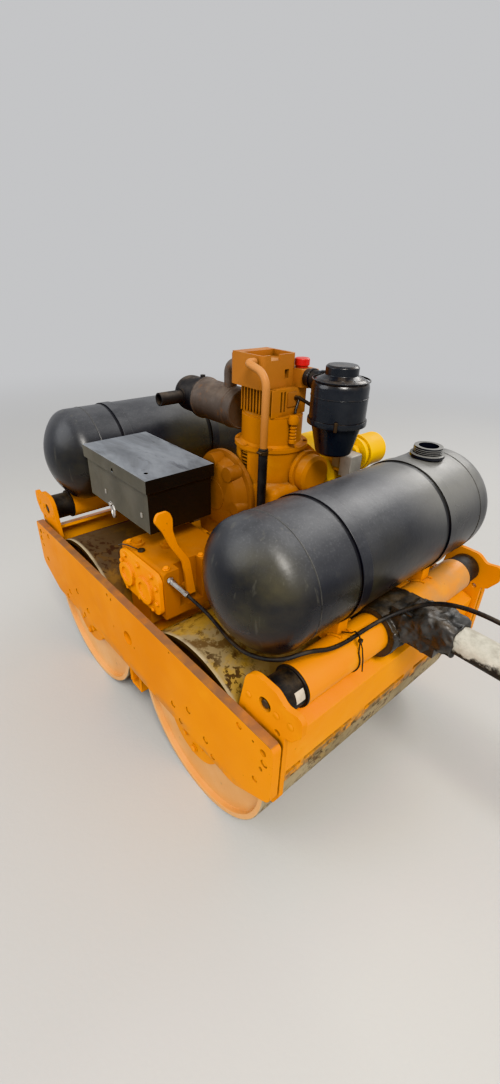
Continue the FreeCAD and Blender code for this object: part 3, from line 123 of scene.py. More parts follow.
class Graph:
    """Node tree of one material, in metres of the machine's own frame."""

    def __init__(self, name):
        self.material = bpy.data.materials.new(name)
        self.material.use_nodes = True
        self.tree = self.material.node_tree
        self.tree.nodes.clear()
        self.output = self.tree.nodes.new("ShaderNodeOutputMaterial")
        self.shader = self.tree.nodes.new("ShaderNodeBsdfPrincipled")
        self.link(self.shader.outputs[0], self.output.inputs["Surface"])
        self.place = self.make("ShaderNodeTexCoord").outputs["Object"]

    def make(self, kind, **settings):
        node = self.tree.nodes.new(kind)
        for key, value in settings.items():
            setattr(node, key, value)
        return node

    def link(self, value, socket):
        if isinstance(value, bpy.types.NodeSocket):
            self.tree.links.new(value, socket)
        elif isinstance(value, (tuple, list)) and len(value) == 3 and socket.type == "RGBA":
            socket.default_value = (*value, 1.0)
        else:
            socket.default_value = value

    def scaled(self, stretch):
        node = self.make("ShaderNodeMapping")
        self.link(self.place, node.inputs["Vector"])
        node.inputs["Scale"].default_value = stretch
        return node.outputs[0]

    def noise(self, scale, detail=4.0, roughness=0.55, stretch=None, distortion=0.0):
        node = self.make("ShaderNodeTexNoise")
        vector = self.place if stretch is None else self.scaled(stretch)
        self.link(vector, node.inputs["Vector"])
        node.inputs["Scale"].default_value = scale
        node.inputs["Detail"].default_value = detail
        node.inputs["Roughness"].default_value = roughness
        node.inputs["Distortion"].default_value = distortion
        return node.outputs["Fac"]

    def step(self, value, low, high, first=0.0, last=1.0):
        """Value mapped from low..high to first..last, and held outside."""
        node = self.make("ShaderNodeMapRange", interpolation_type="SMOOTHSTEP")
        for key, number in (("Value", value), ("From Min", low), ("From Max", high), ("To Min", first), ("To Max", last)):
            self.link(number, node.inputs[key])
        return node.outputs["Result"]

    def math(self, operation, first, second=0.0):
        node = self.make("ShaderNodeMath", operation=operation)
        self.link(first, node.inputs[0])
        self.link(second, node.inputs[1])
        return node.outputs[0]

    def both(self, *values):
        """Product of several shares."""
        total = values[0]
        for value in values[1:]:
            total = self.math("MULTIPLY", total, value)
        return total

    def mix(self, share, first, second):
        node = self.make("ShaderNodeMix", data_type="RGBA")
        self.link(share, node.inputs[0])
        self.link(first, node.inputs[6])
        self.link(second, node.inputs[7])
        return node.outputs[2]

    def axis(self, letter):
        node = self.make("ShaderNodeSeparateXYZ")
        self.link(self.place, node.inputs[0])
        return node.outputs[letter]

    def facing(self, letter):
        """How far a surface faces along an axis, from -1 to 1."""
        geometry = self.make("ShaderNodeNewGeometry")
        node = self.make("ShaderNodeSeparateXYZ")
        self.link(geometry.outputs["Normal"], node.inputs[0])
        return node.outputs[letter]

    def band(self, letter, centre, half, soft):
        """1 within half of centre along an axis, 0 beyond it."""
        away = self.math("ABSOLUTE", self.math("SUBTRACT", self.axis(letter), centre))
        return self.step(away, half + soft, half)

    def near(self, centre, reach, soft, flat=None):
        """1 within reach of a point, or of the line through it along the axis named by flat."""
        spot = self.place
        if flat is not None:
            keep = tuple(0.0 if letter == flat else 1.0 for letter in "XYZ")
            node = self.make("ShaderNodeVectorMath", operation="MULTIPLY")
            self.link(spot, node.inputs[0])
            self.link(keep, node.inputs[1])
            spot = node.outputs[0]
            centre = [value * share for value, share in zip(centre, keep)]
        node = self.make("ShaderNodeVectorMath", operation="DISTANCE")
        self.link(spot, node.inputs[0])
        self.link(tuple(centre), node.inputs[1])
        return self.step(node.outputs["Value"], reach + soft, reach)

    def edges(self, radius, low=0.02, high=0.25):
        """Near 1 along sharp edges, 0 on flat faces."""
        bevel = self.make("ShaderNodeBevel", samples=4)
        bevel.inputs["Radius"].default_value = radius
        geometry = self.make("ShaderNodeNewGeometry")
        dot = self.make("ShaderNodeVectorMath", operation="DOT_PRODUCT")
        self.link(bevel.outputs[0], dot.inputs[0])
        self.link(geometry.outputs["Normal"], dot.inputs[1])
        return self.step(self.math("SUBTRACT", 1.0, dot.outputs["Value"]), low, high)

    def corners(self, distance):
        """Ambient occlusion: near 1 in corners and under other pieces, where shade falls, 0 in the open."""
        node = self.make("ShaderNodeAmbientOcclusion", samples=6)
        node.inputs["Distance"].default_value = distance
        return self.step(node.outputs["AO"], 0.75, 0.25)

    def bump(self, *layers):
        """Bump from (height, distance in metres) layers."""
        normal = None
        for height, distance in layers:
            node = self.make("ShaderNodeBump")
            node.inputs["Strength"].default_value = 1.0
            node.inputs["Distance"].default_value = distance
            self.link(height, node.inputs["Height"])
            if normal is not None:
                self.link(normal, node.inputs["Normal"])
            normal = node.outputs[0]
        self.link(normal, self.shader.inputs["Normal"])

    def finish(self, colour, roughness, metallic=0.0, coat=0.0, coat_roughness=0.1, specular=0.5):
        self.link(colour, self.shader.inputs["Base Color"])
        self.link(roughness, self.shader.inputs["Roughness"])
        self.link(metallic, self.shader.inputs["Metallic"])
        self.shader.inputs["Coat Weight"].default_value = coat
        self.shader.inputs["Coat Roughness"].default_value = coat_roughness
        self.shader.inputs["Specular IOR Level"].default_value = specular
        return self.material


# Colours, as linear light: base, deep and pale tones of a paint
FRAME_YELLOW = ((0.82, 0.278, 0.0015), (0.73, 0.225, 0.001), (0.87, 0.345, 0.010))
# Painted light: a lighter copy of the frame yellow, for the beams, cross tubes and gearbox cover, which stood in
# brighter light
SUNLIT_YELLOW = ((0.92, 0.345, 0.004), (0.84, 0.270, 0.003), (0.95, 0.44, 0.040))
# Painted shade: the engine, head, bell and gearbox tones are darker copies of the yellow paint, for parts that stood in
# shade; the head's tone is also browner. The pipe's tan is its own colour.
SHADED_ENGINE_YELLOW = ((0.56, 0.195, 0.004), (0.40, 0.122, 0.003), (0.68, 0.28, 0.022))
SHADED_HEAD_ORANGE = ((0.43, 0.165, 0.040), (0.31, 0.105, 0.022), (0.56, 0.26, 0.095))
PIPE_TAN = ((0.50, 0.225, 0.080), (0.40, 0.160, 0.045), (0.62, 0.32, 0.14))
SHADED_BELL_BROWN = ((0.34, 0.125, 0.022), (0.24, 0.080, 0.012), (0.46, 0.22, 0.080))
SHADED_GEAR_YELLOW = ((0.58, 0.190, 0.002), (0.42, 0.125, 0.0015), (0.68, 0.26, 0.012))
FAN_YELLOW = ((0.95, 0.58, 0.006), (0.88, 0.46, 0.005), (0.97, 0.66, 0.040))
DUST = (0.50, 0.34, 0.19)
BROWN_DUST = (0.36, 0.20, 0.105)
PALE_PEACH = (0.78, 0.45, 0.20)
# Dark brown for painted shade in corners
PAINTED_CORNER_SHADE = (0.035, 0.022, 0.014)
RUST = (0.11, 0.035, 0.010)
# Brown dirt, also used for painted shade in corners
GRIME_AND_SHADE = (0.10, 0.045, 0.012)
TANK_BLACK = (0.013, 0.014, 0.018)


def yellow_paint(name, tones=FRAME_YELLOW, dust=0.35, tone=DUST, chips=0.5, specular=0.10, over=None):
    """Thick brushed paint over old metal, with dust on top faces, brown dirt with painted shade in corners, and chipped
    edges.
    """
    g = Graph(name)
    base, deep, pale = tones
    colour = g.mix(g.step(g.noise(2.6, 3.0), 0.35, 0.65), deep, base)
    colour = g.mix(g.step(g.noise(9.0, 5.0), 0.55, 0.75, 0.0, 0.45), colour, pale)
    up = g.step(g.facing("Z"), 0.2, 1.0, 0.04, 1.0)
    film = g.both(g.step(g.noise(14.0, 8.0, 0.7), 0.40, 0.66), up)
    colour = g.mix(g.both(film, dust), colour, tone)
    if over is not None:
        colour = over(g, colour)
    # Painted shade with brown dirt: occlusion darkens corners and faces under other pieces, broken by noise
    grime_and_shade = g.both(g.corners(0.03), g.step(g.noise(30.0, 6.0), 0.30, 0.65, 0.2, 0.85))
    colour = g.mix(grime_and_shade, colour, GRIME_AND_SHADE)
    chip = g.both(g.edges(0.003), g.step(g.noise(70.0, 6.0, 0.7), 0.52, 0.62))
    colour = g.mix(g.both(chip, chips), colour, RUST)
    spot = g.both(g.step(g.noise(120.0, 3.0), 0.70, 0.74), g.step(g.noise(4.0, 2.0), 0.45, 0.6))
    colour = g.mix(g.both(spot, 0.6), colour, (0.16, 0.07, 0.02))
    rough = g.math("ADD", g.step(g.noise(6.0, 6.0), 0.3, 0.7, 0.30, 0.44), g.both(film, 0.30))
    g.bump((g.noise(240.0, 2.0), 0.00010), (g.noise(22.0, 4.0), 0.0007), (g.math("SUBTRACT", 0.0, chip), 0.0004))
    return g.finish(colour, rough, specular=specular)


def plate_dirt(g, colour):
    """Brown dust along the top edge, and road dirt low down."""
    top = g.both(g.step(g.axis("Z"), PLATE_TOP - 0.004, PLATE_TOP - 0.0005), g.step(g.noise(26.0, 6.0), 0.30, 0.6, 0.66, 0.97))
    colour = g.mix(top, colour, (0.27, 0.140, 0.080))
    low = g.both(g.step(g.axis("Z"), PLATE_FOOT + 0.035, PLATE_FOOT), g.step(g.noise(18.0, 6.0), 0.42, 0.62, 0.0, 0.55))
    return g.mix(low, colour, BROWN_DUST)


def beam_dirt(g, colour):
    """Dried clay along the lower lip of the folded beams, and pink dust on the front one's top."""
    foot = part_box("end_beam_rear")[0].z
    front = g.both(g.step(g.axis("X"), FRONT_AXLE.x, FRONT_AXLE.x + 0.1), g.step(g.facing("Z"), 0.6, 0.9))
    colour = g.mix(g.both(front, g.step(g.noise(16.0, 6.0), 0.25, 0.5, 0.6, 0.97)), colour, (0.60, 0.34, 0.19))
    low = g.both(g.step(g.axis("Z"), foot + 0.045, foot + 0.012), g.step(g.noise(22.0, 7.0, 0.7), 0.34, 0.56))
    colour = g.mix(low, colour, (0.24, 0.16, 0.08))
    olive = g.both(g.step(g.axis("Z"), foot + 0.030, foot), g.step(g.noise(60.0, 5.0), 0.50, 0.58))
    return g.mix(olive, colour, (0.07, 0.055, 0.025))


def tube_dirt(g, colour):
    """Brown dust towards the right end of the cross tubes, and on their caps."""
    right = g.both(g.step(g.axis("Y"), 0.10, -0.16), g.step(g.noise(8.0, 6.0), 0.34, 0.62, 0.25, 0.9))
    return g.mix(right, colour, (0.50, 0.26, 0.10))


def barrel_dirt(g, colour):
    """Soot and painted shade in the fins, a dark joint below them, and patches of the head's darker, shaded orange
    above.
    """
    # Painted shade and soot: occlusion darkens the gaps between the fins
    fins = g.both(g.step(g.axis("Z"), DECK + 0.080, DECK + 0.088), g.corners(0.016))
    colour = g.mix(fins, colour, (0.045, 0.016, 0.006))
    high = g.both(g.step(g.axis("Z"), DECK + 0.080, DECK + 0.10), g.step(g.noise(12.0, 5.0), 0.3, 0.7, 0.45, 0.85))
    return g.mix(high, colour, SHADED_HEAD_ORANGE[0])


def drum_finish(name, axle, skin_tones):
    """Worn steel skin under dried clay and overspray, with end discs pale peach below the plate's foot and yellow paint
    above it, and a painted shadow high on the discs behind the plates.
    """
    g = Graph(name)
    dull, worn, overspray = skin_tones
    skin = g.mix(g.step(g.noise(5.0, 5.0), 0.35, 0.65), dull, worn)
    skin = g.mix(g.step(g.noise(7.0, 6.0, 0.65), 0.50, 0.62, 0.0, 0.75), skin, overspray)
    skin = g.mix(g.step(g.noise(17.0, 8.0, 0.7, distortion=0.6), 0.53, 0.60, 0.0, 0.85), skin, (0.11, 0.06, 0.026))
    pits = g.both(g.step(g.noise(62.0, 6.0, 0.6, distortion=0.3), 0.52, 0.57, 0.0, 0.92), g.step(g.noise(6.0, 4.0), 0.44, 0.58, 0.08, 1.0))
    skin = g.mix(pits, skin, (0.040, 0.018, 0.012))
    rim = g.step(g.math("ABSOLUTE", g.axis("Y")), DRUM_END - 0.010, DRUM_END - 0.003)
    skin = g.mix(g.both(rim, g.step(g.noise(16.0, 5.0), 0.3, 0.6, 0.3, 0.9)), skin, (0.46, 0.38, 0.25))
    ends = g.both(
        g.step(g.math("ABSOLUTE", g.axis("Y")), DRUM_END - 0.0155, DRUM_END - 0.0150),
        g.near(axle, DRUM_RADIUS - 0.0022, 0.0006, flat="Y"),
    )
    # End discs: a pale peach tone, paler than the yellow paint
    face = g.mix(g.step(g.noise(6.0, 6.0, 0.6), 0.35, 0.7), (0.72, 0.36, 0.125), PALE_PEACH)
    face = g.mix(g.step(g.noise(40.0, 5.0), 0.66, 0.72, 0.0, 0.4), face, (0.30, 0.17, 0.08))
    ragged = g.math("ADD", g.axis("Z"), g.step(g.noise(26.0, 4.0), 0.3, 0.7, -0.012, 0.012))
    painted = g.step(ragged, PLATE_FOOT - 0.010, PLATE_FOOT - 0.004)
    face = g.mix(painted, face, FRAME_YELLOW[0])
    blot = g.both(g.near(axle, 0.105, 0.003, flat="Y"), g.step(g.noise(20.0, 4.0), 0.36, 0.44))
    face = g.mix(blot, face, FRAME_YELLOW[1])
    # Painted shadow: high on the disc, behind the plate's top, the face is painted nearly black for the shade in the
    # gap; it turns with the drum
    gap_shadow = g.step(ragged, PLATE_TOP - 0.062, PLATE_TOP - 0.046)
    face = g.mix(gap_shadow, face, (0.030, 0.018, 0.010))
    colour = g.mix(ends, skin, face)
    rough = g.mix(ends, (0.62, 0.62, 0.62), (0.42, 0.42, 0.42))
    g.bump((g.noise(17.0, 8.0, 0.7, distortion=0.6), 0.0010), (g.noise(90.0, 5.0), 0.0004))
    return g.finish(colour, rough, specular=0.4)


def tank_paint(name, seams=(), smears=(), chip=None):
    """Satin black over steel: dust with a painted sheen above, a right part painted lighter as if sunlit, olive smears
    on the dome, wiped streaks, painted shadow along the strap edges, and a painted highlight on a plug where one is
    given.
    """
    g = Graph(name)
    colour = g.mix(g.step(g.noise(4.0, 4.0), 0.35, 0.65), TANK_BLACK, (0.026, 0.027, 0.032))
    up = g.step(g.facing("Z"), 0.25, 0.98)
    # Dust and a painted sky sheen: faces turned up get a pale blue-grey film
    film = g.both(up, g.step(g.noise(5.0, 7.0, 0.65, stretch=(1.0, 0.5, 1.0)), 0.30, 0.66, 0.25, 1.0))
    colour = g.mix(g.both(film, 0.50), colour, (0.19, 0.195, 0.205))
    # Painted light with dust: the tank's right part, towards -Y, is painted a lighter grey as if sunlit
    right = g.both(g.step(g.axis("Y"), 0.02, -0.16), g.step(g.facing("Z"), 0.0, 0.8), g.step(g.noise(7.0, 6.0), 0.3, 0.6, 0.5, 0.95))
    colour = g.mix(g.both(right, 0.70), colour, (0.25, 0.245, 0.225))
    for place, reach, strength in smears:
        smear = g.both(g.near(place, reach * 0.2, reach), g.step(g.noise(6.0, 5.0, 0.55, stretch=(1.0, 0.6, 1.2)), 0.30, 0.66), strength)
        colour = g.mix(smear, colour, (0.20, 0.17, 0.075))
    wipe = g.both(g.step(g.noise(60.0, 3.0, stretch=(1.0, 1.0, 0.13)), 0.62, 0.70), g.step(g.axis("Y"), 0.20, 0.30), 0.16)
    colour = g.mix(wipe, colour, (0.20, 0.19, 0.15))
    speck = g.both(g.step(g.noise(230.0, 4.0, 0.6), 0.55, 0.64), up, 0.10)
    colour = g.mix(speck, colour, (0.30, 0.30, 0.31))
    # Painted highlight: a small pale spot for the glint of a plug on the dome
    if chip is not None:
        colour = g.mix(g.both(g.near(chip, 0.0035, 0.0025), g.step(g.noise(90.0, 3.0), 0.3, 0.5)), colour, (0.55, 0.54, 0.50))
    # Painted shadow: dark lines beside the straps, for the shade in the gaps at their edges
    edge = g.band("Y", STRAP_OUTER + 0.0035, 0.003, 0.002)
    colour = g.mix(g.both(edge, 0.85), colour, (0.006, 0.006, 0.008))
    edge = g.band("Y", 0.006 - STRAP_OUTER + 0.030, 0.005, 0.002)
    colour = g.mix(g.both(edge, 0.85), colour, (0.006, 0.006, 0.008))
    for seam in seams:
        line = g.both(g.band("Y", seam, 0.0012, 0.0008), g.step(g.noise(20.0, 4.0), 0.35, 0.55, 0.2, 0.8))
        colour = g.mix(line, colour, (0.085, 0.083, 0.076))
    underside = g.both(g.step(g.facing("Z"), 0.0, -0.5), g.step(g.noise(8.0, 5.0), 0.35, 0.65, 0.1, 0.5))
    colour = g.mix(underside, colour, (0.07, 0.045, 0.028))
    rough = g.math("ADD", g.step(g.noise(8.0, 6.0), 0.3, 0.7, 0.24, 0.36), g.both(film, 0.16))
    g.bump((g.noise(30.0, 4.0), 0.0006), (g.noise(160.0, 2.0), 0.00014), (g.noise(420.0, 1.0), 0.00005))
    return g.finish(colour, rough, specular=0.5)


def box_paint(name="box_paint"):
    """Weathered black sheet: a streaked grey lid, a dusty left side and dark ends."""
    g = Graph(name)
    up = g.step(g.facing("Z"), 0.5, 0.9)
    streak = g.noise(7.0, 7.0, 0.65, stretch=(0.5, 1.3, 1.0), distortion=0.6)
    colour = g.mix(g.both(up, g.step(streak, 0.34, 0.62, 0.50, 1.0)), (0.013, 0.013, 0.013), (0.235, 0.252, 0.278))
    scuff = g.both(up, g.step(g.noise(13.0, 8.0, 0.75, stretch=(0.4, 1.6, 1.0)), 0.55, 0.66))
    colour = g.mix(g.both(scuff, 0.7), colour, (0.06, 0.063, 0.072))
    left = g.both(g.step(g.facing("Y"), 0.5, 0.9), g.step(g.noise(4.0, 6.0, 0.55, stretch=(1.0, 1.0, 0.5)), 0.28, 0.62, 0.35, 1.0))
    colour = g.mix(left, colour, (0.115, 0.105, 0.080))
    worn = g.both(g.edges(0.0025), g.step(g.noise(30.0, 5.0), 0.36, 0.6), 0.6)
    colour = g.mix(worn, colour, (0.26, 0.26, 0.27))
    g.bump((g.noise(26.0, 5.0), 0.0006), (g.noise(200.0, 2.0), 0.0001))
    return g.finish(colour, g.step(g.noise(12.0, 6.0), 0.3, 0.7, 0.42, 0.62), specular=0.4)


def muffler_paint():
    """Burnt brown sheet near the head, and black paint on the far end and its outlet."""
    g = Graph("muffler_paint")
    seam = MUFFLER_LOW.x + 0.163
    brown = g.mix(g.step(g.noise(10.0, 6.0, 0.65), 0.35, 0.65), (0.078, 0.060, 0.050), (0.125, 0.098, 0.082))
    brown = g.mix(g.step(g.noise(34.0, 7.0, 0.7), 0.55, 0.64, 0.0, 0.6), brown, (0.16, 0.075, 0.035))
    black = g.mix(g.step(g.noise(14.0, 5.0), 0.35, 0.65), (0.010, 0.010, 0.012), (0.028, 0.026, 0.026))
    colour = g.mix(g.step(g.axis("X"), seam - 0.004, seam - 0.002), brown, black)
    film = g.both(g.step(g.facing("Z"), 0.2, 1.0), g.step(g.noise(20.0, 7.0, 0.7), 0.38, 0.62), 0.35)
    colour = g.mix(film, colour, (0.20, 0.15, 0.11))
    g.bump((g.noise(30.0, 5.0), 0.0006), (g.noise(300.0, 2.0), 0.0001))
    return g.finish(colour, g.step(g.noise(18.0, 5.0), 0.3, 0.7, 0.55, 0.8))


def tube_paint():
    """Tiller tube: chalky off-white above, tarred black below and beside its socket."""
    g = Graph("tube_paint")
    pale = g.mix(g.step(g.noise(30.0, 6.0, 0.65), 0.35, 0.65), (0.60, 0.57, 0.49), (0.42, 0.39, 0.32))
    height = g.math("ADD", g.axis("Z"), g.step(g.noise(14.0, 6.0, 0.7), 0.3, 0.7, -0.014, 0.014))
    colour = g.mix(g.step(height, TILLER.z - 0.010, TILLER.z + 0.002), (0.022, 0.021, 0.021), pale)
    patch = g.step(g.noise(16.0, 7.0, 0.7, stretch=(0.5, 1.0, 1.0)), 0.56, 0.62)
    colour = g.mix(g.both(patch, 0.8), colour, (0.06, 0.058, 0.055))
    g.bump((g.noise(40.0, 6.0), 0.0005), (g.noise(260.0, 2.0), 0.0001))
    return g.finish(colour, g.step(g.noise(30.0, 5.0), 0.3, 0.7, 0.5, 0.75))


def plain_finish(name, first, second, rough=(0.4, 0.6), metallic=0.0, grain=0.0002, scale=18.0, dust=0.2, coat=0.0):
    """Two tones broken by noise, dust on what faces up, painted shade in corners, and a fine grain."""
    g = Graph(name)
    colour = g.mix(g.step(g.noise(scale, 6.0, 0.65), 0.35, 0.65), first, second)
    film = g.both(g.step(g.facing("Z"), 0.0, 1.0), g.step(g.noise(24.0, 7.0, 0.7), 0.40, 0.68))
    colour = g.mix(g.both(film, dust), colour, DUST)
    # Painted shade: dark brown where occlusion finds corners and faces under other pieces
    colour = g.mix(g.both(g.corners(0.02), 0.5), colour, PAINTED_CORNER_SHADE)
    g.bump((g.noise(scale * 14.0, 3.0), grain), (g.noise(scale, 4.0), grain * 3.0))
    return g.finish(colour, g.step(g.noise(scale, 5.0), 0.3, 0.7, *rough), metallic=metallic, coat=coat)


REAR_SKIN = ((0.29, 0.215, 0.110), (0.42, 0.33, 0.19), (0.44, 0.26, 0.040))
FRONT_SKIN = ((0.085, 0.056, 0.035), (0.145, 0.100, 0.066), (0.24, 0.115, 0.022))


def make_finishes():
    finishes = {
        "yellow_paint": yellow_paint("yellow_paint"),
        # The engine's paint takes the darker, shaded copy of the yellow: painted shade
        "engine_paint": yellow_paint("engine_paint", SHADED_ENGINE_YELLOW, dust=0.5, chips=0.7),
        "tank_paint": tank_paint("tank_paint"),
        "box_paint": box_paint(),
        "rubber": plain_finish("rubber", (0.010, 0.010, 0.011), (0.024, 0.024, 0.025), rough=(0.5, 0.7), dust=0.12),
        "muffler_paint": muffler_paint(),
        "filter_paint": plain_finish("filter_paint", (0.010, 0.012, 0.016), (0.019, 0.021, 0.025), rough=(0.24, 0.36),
                                     dust=0.12, coat=0.25),
        "red_cap": plain_finish("red_cap", (0.50, 0.012, 0.012), (0.58, 0.03, 0.025), rough=(0.25, 0.4)),
        "bare_steel": plain_finish("bare_steel", (0.45, 0.43, 0.40), (0.60, 0.58, 0.55), rough=(0.25, 0.45), metallic=1.0),
        "tube_paint": tube_paint(),
        "black_plastic": plain_finish("black_plastic", (0.012, 0.012, 0.012), (0.02, 0.02, 0.02), rough=(0.35, 0.5)),
    }
    return finishes


FINISHES = make_finishes()
PLATE_FINISH = yellow_paint("plate_paint", dust=0.30, over=plate_dirt)
# The beams and cross tubes take the lighter copy of the yellow: painted light
BEAM_FINISH = yellow_paint("beam_paint", SUNLIT_YELLOW, dust=0.12, over=beam_dirt)
TUBE_FINISH = yellow_paint("cross_tube_paint", SUNLIT_YELLOW, dust=0.08, specular=0.25, over=tube_dirt)
WRAP_FINISH = plain_finish("wrap", (0.030, 0.030, 0.030), (0.060, 0.060, 0.059), rough=(0.34, 0.55), scale=30.0, dust=0.12)
OLD_STEEL = plain_finish("old_steel", (0.10, 0.075, 0.055), (0.05, 0.036, 0.028), rough=(0.4, 0.6), metallic=0.6)
LABEL_FINISH = plain_finish("blank_label", (0.62, 0.56, 0.47), (0.50, 0.44, 0.35), rough=(0.5, 0.7), scale=40.0)
CAST_GREY = plain_finish("cast_grey", (0.42, 0.40, 0.36), (0.30, 0.285, 0.26), rough=(0.5, 0.7), metallic=0.3)

NODE_FINISH = {
    "side_plate_left": PLATE_FINISH,
    "side_plate_right": PLATE_FINISH,
    "end_beam_rear": BEAM_FINISH,
    "end_beam_front": BEAM_FINISH,
    "cross_tube_rear": TUBE_FINISH,
    "cross_tube_front": TUBE_FINISH,
    # The gearbox, bell, head and barrel take darker, shaded copies of the yellow (painted shade); the gearbox cover
    # takes the lighter copy (painted light)
    "gearbox_housing": yellow_paint("gearbox_paint", SHADED_GEAR_YELLOW, dust=0.15, chips=0.6),
    "gearbox_cover": yellow_paint("gearbox_cover_paint", SUNLIT_YELLOW, dust=0.25, chips=0.6),
    "clutch_housing": yellow_paint("bell_paint", SHADED_BELL_BROWN, dust=0.8, tone=BROWN_DUST, chips=0.6),
    "engine_head": yellow_paint("head_paint", SHADED_HEAD_ORANGE, dust=0.6, chips=0.7),
    "engine_barrel": yellow_paint("barrel_paint", SHADED_ENGINE_YELLOW, dust=0.4, chips=0.7, over=barrel_dirt),
    "tiller_collar": WRAP_FINISH,
    "breather_pipe": yellow_paint("pipe_paint", PIPE_TAN, dust=0.4, chips=0.5),
    "flywheel_housing": yellow_paint("fan_paint", FAN_YELLOW, dust=0.25, chips=0.5),
    "drum_rear": drum_finish("drum_skin_rear", REAR_AXLE, REAR_SKIN),
    "drum_front": drum_finish("drum_skin_front", FRONT_AXLE, FRONT_SKIN),
    "water_tank_rear": tank_paint("tank_paint_rear", (0.283, -0.283), (
        # place, reach, strength
        (ahead(-0.19, 0.36, 0.74), 0.09, 0.32),
        (ahead(-0.12, 0.385, 0.67), 0.06, 0.22),
        (ahead(-0.23, 0.10, 0.62), 0.16, 0.22),
    # The chip place is a painted highlight: the glint of a plug on the rear tank's dome
    ), chip=ahead(-0.213, 0.385, 0.640)),
    "water_tank_front": tank_paint("tank_paint_front", (0.243, -0.283), (
        (ahead(0.66, 0.30, 0.70), 0.08, 0.20),
        (ahead(0.66, -0.12, 0.70), 0.16, 0.45),
    )),
}


# Pieces

def put(piece, body):
    """Link a piece to the scene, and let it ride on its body."""
    if piece.name not in bpy.context.scene.collection.objects:
        bpy.context.scene.collection.objects.link(piece)
    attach(piece, body)
    return piece


def soften(piece, width, segments=2, angle=32.0):
    """Round the sharp edges and smooth the curved faces."""
    if width > 0.0:
        bevel = piece.modifiers.new("edge", "BEVEL")
        bevel.width = width
        bevel.segments = segments
        bevel.limit_method = "ANGLE"
        bevel.angle_limit = math.radians(angle)
        bevel.use_clamp_overlap = True
        bevel.harden_normals = True
    piece.data.shade_smooth()
    piece.data.set_sharp_from_angle(angle=math.radians(angle))


def settled(piece):
    """The piece's mesh with its modifiers applied."""
    bpy.context.view_layer.update()
    graph = bpy.context.evaluated_depsgraph_get()
    mesh = bpy.data.meshes.new_from_object(piece.evaluated_get(graph))
    piece.modifiers.clear()
    piece.data = mesh


def carve(piece, form):
    """Take the solids of form out of a piece."""
    mesh = bpy.data.meshes.new("cutter")
    form.to_mesh(mesh)
    form.free()
    cutter = bpy.data.objects.new("cutter", mesh)
    bpy.context.scene.collection.objects.link(cutter)
    tool = piece.modifiers.new("carve", "BOOLEAN")
    tool.operation = "DIFFERENCE"
    tool.solver = "EXACT"
    tool.object = cutter
    settled(piece)
    bpy.data.objects.remove(cutter)


EDGE_WIDTH = 0.0014


def dress(node, carving=None):
    """The node's own form with softened edges, in the node's place."""
    mesh = frame["nodes"][node].data.copy()
    mesh.materials.clear()
    form = bmesh.new()
    form.from_mesh(mesh)
    bmesh.ops.remove_doubles(form, verts=form.verts, dist=0.00001)
    bmesh.ops.dissolve_limit(form, angle_limit=math.radians(0.4), verts=form.verts, edges=form.edges)
    form.to_mesh(mesh)
    form.free()
    for layer in [item for item in mesh.attributes if item.name == "custom_normal"]:
        mesh.attributes.remove(layer)
    piece = bpy.data.objects.new(f"{node}_part", mesh)
    bpy.context.scene.collection.objects.link(piece)
    if carving is not None:
        carve(piece, carving)
    piece.data.materials.clear()
    piece.data.materials.append(NODE_FINISH.get(node) or FINISHES[NODE_SLOT[node]])
    put(piece, NODE_BODY[node])
    soften(piece, EDGE_WIDTH)
    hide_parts(node)
    return piece


def lathe(form, centre, way, profile, segments=32, closed=False):
    """Turned solid about an axis through centre; profile rows are (radius, distance along way)."""
    turn = Vector(way).to_track_quat("Z", "Y")
    rings = []
    for radius, along in profile:
        angles = [math.tau * step / segments for step in range(segments)] if radius > 1e-6 else [0.0]
        rings.append([form.verts.new(Vector(centre) + turn @ Vector((radius * math.cos(a), radius * math.sin(a), along)))
                      for a in angles])
    pairs = list(zip(rings, rings[1:]))
    if closed:
        pairs.append((rings[-1], rings[0]))
    for low, high in pairs:
        for step in range(segments):
            after = (step + 1) % segments
            corners = []
            for ring, index in ((low, step), (low, after), (high, after), (high, step)):
                vert = ring[index % len(ring)]
                if vert not in corners:
                    corners.append(vert)
            form.faces.new(corners)


def block(form, low, high):
    """Solid box between two corners."""
    size = Vector(high) - Vector(low)
    place = Matrix.Translation((Vector(low) + Vector(high)) / 2) @ Matrix.Diagonal((*size, 1.0))
    bmesh.ops.create_cube(form, size=1.0, matrix=place)


def sweep(form, points, radii, sides=10, closed=False):
    """Round bar through points, with a radius at each."""
    points = [Vector(point) for point in points]
    count = len(points)
    rings = []
    side = None
    for index, point in enumerate(points):
        before = points[index - 1] if index or closed else point
        after = points[(index + 1) % count] if index < count - 1 or closed else point
        way = (after - before).normalized()
        if side is None:
            side = way.orthogonal().normalized()
        side = (side - way * side.dot(way)).normalized()
        over = way.cross(side)
        rings.append([form.verts.new(point + (side * math.cos(a) + over * math.sin(a)) * radii[index])
                      for a in (math.tau * step / sides for step in range(sides))])
    for low, high in zip(rings, rings[1:] + rings[:1] if closed else rings[1:]):
        for step in range(sides):
            form.faces.new((low[step], low[(step + 1) % sides], high[(step + 1) % sides], high[step]))
    if not closed:
        form.faces.new(list(reversed(rings[0])))
        form.faces.new(rings[-1])


def bolt(form, place, way, size, washer=True):
    """Hexagon head with a chamfer, on a washer; size is the head's radius."""
    foot = 0.0
    if washer:
        foot = size * 0.25
        lathe(form, place, way, ((0, 0), (size * 1.35, 0), (size * 1.35, foot), (0, foot)), 24)
    top = foot + size * 0.75
    lathe(form, place, way, ((0, foot), (size, foot), (size, top - size * 0.15), (size * 0.82, top), (0, top)), 6)


def dome(form, place, way, size):
    """Round painted-over head of a flush bolt."""
    lathe(form, place, way, ((0, 0), (size, 0), (size, size * 0.12), (size * 0.7, size * 0.24), (0, size * 0.27)), 20)


